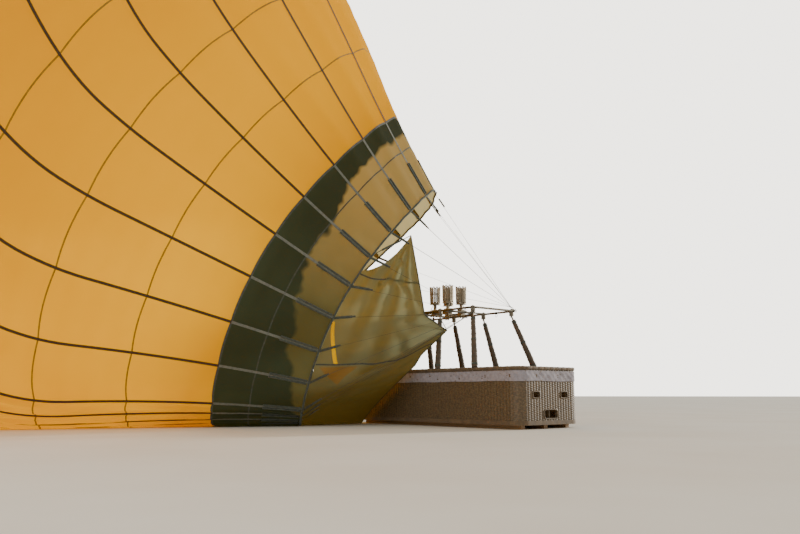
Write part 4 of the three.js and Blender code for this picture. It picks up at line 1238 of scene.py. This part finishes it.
def build_coils():
    """Each burner's coil: an upright tube that goes up and down all round, between two bands."""
    for k, (x, y) in enumerate(BURNER_PLACES):
        pile = Pile()
        points = up_and_down(COIL_RUNS, PAN_TOP + 0.016, COIL_TOP - 0.012)
        line = [(x + r * math.cos(a), y + r * math.sin(a), z) for r, a, z in points]
        pile.tube(line, COIL_TUBE, sides=8, closed=True)
        coil = pile.make(f"coil_tube_{k + 1}", finish("burner"))
        dress(coil, "burner", "burner_steel", f"burner_coil_{k + 1}")
        bands = Pile()
        for z, height in ((PAN_TOP + 0.001, 0.02), (PAN_TOP + 0.2, 0.012)):
            radius = coil_radius(z) - 0.0125
            section = [(radius, z), (radius, z + height),
                       (radius - 0.003, z + height), (radius - 0.003, z)]
            rings = [circle((x, y, h), r, 40) for r, h in section]
            bands.grid(np.array(rings), closed=True, closed_rows=True)
        for n in range(0, COIL_RUNS, 2):
            angle = 2 * math.pi * (n + 0.5) / COIL_RUNS
            foot = np.array([x + 0.1 * math.cos(angle), y + 0.1 * math.sin(angle), PAN_TOP])
            bands.tube([foot, foot + [0, 0, 0.03]], 0.004, sides=6)
        made = shade_by_angle(bands.make(f"coil_bands_{k + 1}", finish("burner")))
        dress(made, "burner", "burner_steel")


def up_and_down(runs, low, high):
    """A closed line of upright runs round the coil, as radius, angle and height."""
    points = []
    for n in range(runs):
        angle = 2 * math.pi * (n + 0.5) / runs
        next_angle = 2 * math.pi * (n + 1.5) / runs
        heights = np.linspace(low + 0.018, high - 0.018, 7)
        heights = heights if n % 2 == 0 else heights[::-1]
        points += [(coil_radius(z), angle, z) for z in heights]
        end = high if n % 2 == 0 else low
        for t in (0.2, 0.5, 0.8):
            z = mix(heights[-1], end, math.sin(math.pi * t) ** 0.5)
            points.append((coil_radius(z), mix(angle, next_angle, t), z))
    return points


def coil_radius(z):
    """The coil opens a little towards its top."""
    return mix(0.097, 0.106, (z - PAN_TOP) / (COIL_TOP - PAN_TOP))


# A gas pipe's route from its valve to the pan, outwards from the burner's middle, and its height.
PIPE_ROUTE = [(0.03, 0.03, 2.24), (0.05, 0.07, 2.25), (0.045, 0.085, 2.34), (0.02, 0.06, 2.42),
              (0.015, 0.03, 2.474)]


def build_burner_fittings():
    """Jet rings, valves, levers, gauges and gas pipes on the burner block."""
    paint_nodes({"burner_block": "burner"})
    jets, brass, levers, grips, pipes = Pile(), Pile(), Pile(), Pile(), Pile()
    for x, y in BURNER_PLACES:
        jets.tube(circle((x, y, PAN_TOP + 0.014), JET_RADIUS, 28), 0.007, sides=8, closed=True)
        for place in circle((x, y, PAN_TOP + 0.018), JET_RADIUS, 28)[::4]:
            jets.tube([place, place + [0, 0, 0.012]], 0.003, sides=6)
        jets.tube([(x + 0.02, y, PAN_TOP), (x + 0.02, y, PAN_TOP + 0.05)], 0.01, sides=10)
        side_x, side_y = math.copysign(1, x - FRAME_X), math.copysign(1, y)
        brass.lathe([(0.014, 0), (0.02, 0.004), (0.02, 0.02), (0.012, 0.026),
                     (0.012, 0.05), (0.019, 0.052), (0.019, 0.062), (0.008, 0.064)],
                    (x + side_x * 0.03, y + side_y * 0.02, 2.172), 18)
        brass.lathe([(0.016, 0), (0.016, 0.012), (0.024, 0.014), (0.024, 0.03), (0.016, 0.034)],
                    (x - side_x * 0.028, y - side_y * 0.02, 2.206), 18)
        base = np.array([x + side_x * 0.03, y + side_y * 0.02, 2.19])
        reach = np.array([side_x * 0.1, side_y * 0.02, -0.004])
        levers.tube([base, base + reach * 0.5, base + reach], [0.006, 0.005, 0.006], sides=8)
        grips.tube([base + reach * 0.72, base + reach * 1.08], 0.0085, sides=10)
        jets.lathe([(0.026, -0.004), (0.028, 0), (0.028, 0.016), (0.024, 0.019)],
                   (x + side_x * 0.057, y - side_y * 0.02, 2.29), 24, axis="X")
        route = [(x + side_x * along, y + side_y * across, z) for along, across, z in PIPE_ROUTE]
        pipes.tube(bend(route), 0.006, sides=8)
    dress(jets.make("jet_rings", finish("burner")), "burner", "burner_steel")
    dress(shade_by_angle(brass.make("burner_valves", finish("brass"))), "burner", "burner_steel")
    dress(levers.make("valve_levers", finish("steel")), "burner", "burner_steel")
    dress(grips.make("lever_grips", finish("hose")), "burner", "burner_steel")
    dress(pipes.make("gas_pipes", finish("brass")), "burner", "burner_steel")


def bend(points, steps=8):
    """A smooth line through points."""
    points = np.array(points, float)
    ends = np.vstack([2 * points[0] - points[1], points, 2 * points[-1] - points[-2]])
    line = []
    for k in range(1, len(ends) - 2):
        a, b, c, d = ends[k - 1:k + 3]
        for t in np.linspace(0, 1, steps, endpoint=False):
            line.append(0.5 * (2 * b + (c - a) * t + (2 * a - 5 * b + 4 * c - d) * t ** 2
                               + (3 * b - a - 3 * c + d) * t ** 3))
    line.append(points[-1])
    return np.array(line)


# Gas cylinders

CYLINDER_X, CYLINDER_Y = 0.3, 0.63
VALVE_FOOT = 0.908
# Radius and height along the jacket.
JACKET = [(0.1512, 0.21), (0.1555, 0.214), (0.1565, 0.3), (0.1555, 0.45), (0.1565, 0.6),
          (0.1555, 0.768), (0.1512, 0.772)]


def build_cylinders():
    """Padded jackets, straps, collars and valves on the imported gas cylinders."""
    paint_nodes({f"gas_cylinder_{k}": "cylinder" for k in (1, 2, 3, 4)})
    valves, straps = Pile(), Pile()
    number = 1
    for side_y in (-1, 1):
        for side_x in (-1, 1):
            x, y = side_x * CYLINDER_X, side_y * CYLINDER_Y
            jacket = Pile()
            jacket.grid(np.array([circle((x, y, z), r, 36) for r, z in JACKET]), closed=True)
            made = dress(jacket.make(f"cylinder_jacket_{number}", finish("jacket")), ROOT, "hide")
            for z in (0.33, 0.66):
                straps.lathe([(0.1575, z - 0.02), (0.1585, z - 0.018),
                              (0.1585, z + 0.018), (0.1575, z + 0.02)], (x, y, 0), 36)
            valves.lathe([(0.026, 0), (0.03, 0.004), (0.03, 0.02), (0.018, 0.024),
                          (0.018, 0.044), (0.027, 0.046), (0.027, 0.058), (0.012, 0.06)],
                         (x, y, VALVE_FOOT), 20)
            height = VALVE_FOOT + 0.032
            valves.tube([(x, y, height), (x - side_x * 0.045, y, height)], 0.011, sides=10)
            number += 1
    dress(shade_by_angle(valves.make("cylinder_valves", finish("brass"))), ROOT, "cylinder_alloy")
    dress(straps.make("cylinder_straps", finish("edge")), ROOT, "hide")


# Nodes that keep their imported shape

WOODEN_NODES = ["basket_floor", "runner_near", "runner_middle", "runner_far"]


def paint_nodes(finishes):
    for name, material in finishes.items():
        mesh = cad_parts[name].data
        mesh.materials.clear()
        mesh.materials.append(finish(material))


def dress_rigging():
    corners = ["far_front", "near_front", "near_rear", "far_rear"]
    paint_nodes({f"flying_wires_{name}": "wire" for name in corners})
    paint_nodes({f"karabiner_{name}": "steel" for name in corners})
    paint_nodes({"crown_ring": "band_tape"})
    gates = Pile()
    for name in corners:
        low, high = (Vector(v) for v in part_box(f"karabiner_{name}"))
        middle = np.array((low + high) / 2)
        way = unit(middle - np.array([FRAME_X, 0, FRAME_Z]))
        gate, half = middle + way * 0.028, np.array([0, 0, 0.012])
        gates.tube([gate + half, gate - half], 0.0085, sides=10)
    dress(gates.make("karabiner_sleeves", finish("steel")), ROOT, "frame_steel")


# Stage

FLOOR_RADII = (0.5, 20, 60, 260)
# Strengths of the soft light from all round, of the backdrop as the camera sees it, and in watts of
# the wide lamp in front.
AIR_LIGHT = 0.8
BACKDROP_LIGHT = 4.0
FRONT_FILL = 650


def build_stage():
    options = stage_settings()
    scene = bpy.context.scene
    camera_data = bpy.data.cameras.new("photo_camera")
    camera_data.lens = CAMERA_LENS
    camera_data.sensor_width = 36
    camera_data.clip_end = 600
    camera = bpy.data.objects.new("photo_camera", camera_data)
    camera.location = CAMERA_PLACE
    camera.rotation_euler = CAMERA_TURN
    scene.collection.objects.link(camera)
    scene.camera = camera
    rings = [circle((0, 0, -0.002), r, 96) for r in FLOOR_RADII]
    ground = Pile()
    ground.grid(np.array(rings), closed=True)
    ground.cap(rings[0])
    floor = ground.make("studio_floor", finish("floor"))
    world = bpy.data.worlds.new("studio_air")
    scene.world = world
    world.use_nodes = True
    world.node_tree.nodes.clear()
    tree = world.node_tree
    seen = add_node(tree, "ShaderNodeLightPath").outputs["Is Camera Ray"]
    sky = (*options.sky, 1)
    soft = add_node(tree, "ShaderNodeBackground", {}, {"Color": sky, "Strength": AIR_LIGHT})
    plain = add_node(tree, "ShaderNodeBackground", {}, {"Color": sky, "Strength": BACKDROP_LIGHT})
    both = add_node(tree, "ShaderNodeMixShader", {}, {
        "Fac": seen, 1: soft.outputs[0], 2: plain.outputs[0]})
    add_node(tree, "ShaderNodeOutputWorld", {}, {"Surface": both.outputs[0]})
    add_light("back_light", "SUN", options.sun, (1.0, 0.95, 0.86), (7.1, 56.6, 17.0),
              angle=math.radians(5))
    add_light("front_fill", "AREA", FRONT_FILL, (1.0, 0.98, 0.95), (6, -20, 9), size=12,
              target=(0, -2, 1))
    add_light("inner_glow", "AREA", options.glow, (1.0, 0.96, 0.88), (-4.2, -1.8, 2.6), size=3.2,
              target=(-9.5, -9.5, 8.5))


def add_light(name, kind, energy, colour, place, angle=None, size=None, target=(-4, -4, 4)):
    data = bpy.data.lights.new(name, kind)
    data.energy = energy
    data.color = colour
    if angle is not None:
        data.angle = angle
    if size is not None:
        data.shape = "DISK"
        data.size = size
    lamp = bpy.data.objects.new(name, data)
    lamp.location = place
    lamp.rotation_euler = (Vector(target) - Vector(place)).to_track_quat("-Z", "Y").to_euler()
    bpy.context.scene.collection.objects.link(lamp)


# Operators

class BALLOON_OT_stage(bpy.types.Operator):
    """Sets up the camera, the pale floor and the soft light"""

    bl_idname = "balloon.stage"
    bl_label = "Stage"

    def execute(self, context):
        build_stage()
        return {"FINISHED"}


class BALLOON_OT_envelope(bpy.types.Operator):
    """Makes the gores, the mouth band and the vent panel"""

    bl_idname = "balloon.envelope"
    bl_label = "Envelope cloth"

    def execute(self, context):
        build_gores()
        build_mouth_band()
        build_vent()
        return {"FINISHED"}


class BALLOON_OT_seams(bpy.types.Operator):
    """Lays the seams, load tapes, hem and strap ends on the cloth"""

    bl_idname = "balloon.seams"
    bl_label = "Seams and tapes"

    def execute(self, context):
        build_seams()
        build_tapes()
        build_edges()
        return {"FINISHED"}


class BALLOON_OT_scoop(bpy.types.Operator):
    """Hangs the scoop from the mouth down to the basket"""

    bl_idname = "balloon.scoop"
    bl_label = "Scoop"

    def execute(self, context):
        build_scoop()
        return {"FINISHED"}


class BALLOON_OT_basket(bpy.types.Operator):
    """Weaves the basket, with its rim, bands, partitions, floor and runners"""

    bl_idname = "balloon.basket"
    bl_label = "Basket"

    def execute(self, context):
        build_wicker()
        build_rim()
        build_bands()
        build_partition_tops()
        paint_nodes({name: "wood" for name in WOODEN_NODES})
        paint_nodes({"partition_front": "wicker", "partition_rear": "wicker"})
        return {"FINISHED"}


class BALLOON_OT_posts(bpy.types.Operator):
    """Pads the eight posts between the basket and the load frame"""

    bl_idname = "balloon.posts"
    bl_label = "Posts"

    def execute(self, context):
        build_posts()
        return {"FINISHED"}


class BALLOON_OT_burner(bpy.types.Operator):
    """Makes the burner's coils, valves and pipes, and dresses the load frame"""

    bl_idname = "balloon.burner"
    bl_label = "Frame and burner"

    def execute(self, context):
        dress_frame()
        build_coils()
        build_burner_fittings()
        return {"FINISHED"}


class BALLOON_OT_cylinders(bpy.types.Operator):
    """Dresses the gas cylinders in their jackets and valves"""

    bl_idname = "balloon.cylinders"
    bl_label = "Gas cylinders"

    def execute(self, context):
        build_cylinders()
        return {"FINISHED"}


class BALLOON_OT_rigging(bpy.types.Operator):
    """Gives the wires, links and crown ring their finishes"""

    bl_idname = "balloon.rigging"
    bl_label = "Rigging"

    def execute(self, context):
        dress_rigging()
        return {"FINISHED"}


STEPS = [BALLOON_OT_stage, BALLOON_OT_envelope, BALLOON_OT_seams, BALLOON_OT_scoop, BALLOON_OT_basket,
         BALLOON_OT_posts, BALLOON_OT_burner, BALLOON_OT_cylinders, BALLOON_OT_rigging]
SETTINGS = {"balloon_cloth": ClothSettings, "balloon_basket": BasketSettings,
            "balloon_stage": StageSettings}


class BALLOON_PT_steps(bpy.types.Panel):
    """Lists the steps and their settings"""

    bl_idname = "BALLOON_PT_steps"
    bl_label = "Hot air balloon"
    bl_space_type = "VIEW_3D"
    bl_region_type = "UI"
    bl_category = "Balloon"

    def draw(self, context):
        for name, group in SETTINGS.items():
            for key in group.__annotations__:
                self.layout.prop(getattr(context.scene, name), key)
        for step in STEPS:
            self.layout.operator(step.bl_idname)


def register():
    for item in [*SETTINGS.values(), *STEPS, BALLOON_PT_steps]:
        bpy.utils.register_class(item)
    for name, group in SETTINGS.items():
        setattr(bpy.types.Scene, name, bpy.props.PointerProperty(type=group))


def unregister():
    for name in SETTINGS:
        delattr(bpy.types.Scene, name)
    for item in [BALLOON_PT_steps, *reversed(STEPS), *SETTINGS.values()]:
        bpy.utils.unregister_class(item)


def main():
    register()
    bpy.ops.balloon.stage()
    bpy.ops.balloon.envelope()
    bpy.ops.balloon.seams()
    bpy.ops.balloon.scoop()
    bpy.ops.balloon.basket()
    bpy.ops.balloon.posts()
    bpy.ops.balloon.burner()
    bpy.ops.balloon.cylinders()
    bpy.ops.balloon.rigging()
    bpy.context.view_layer.update()


if __name__ == "__main__":
    main()
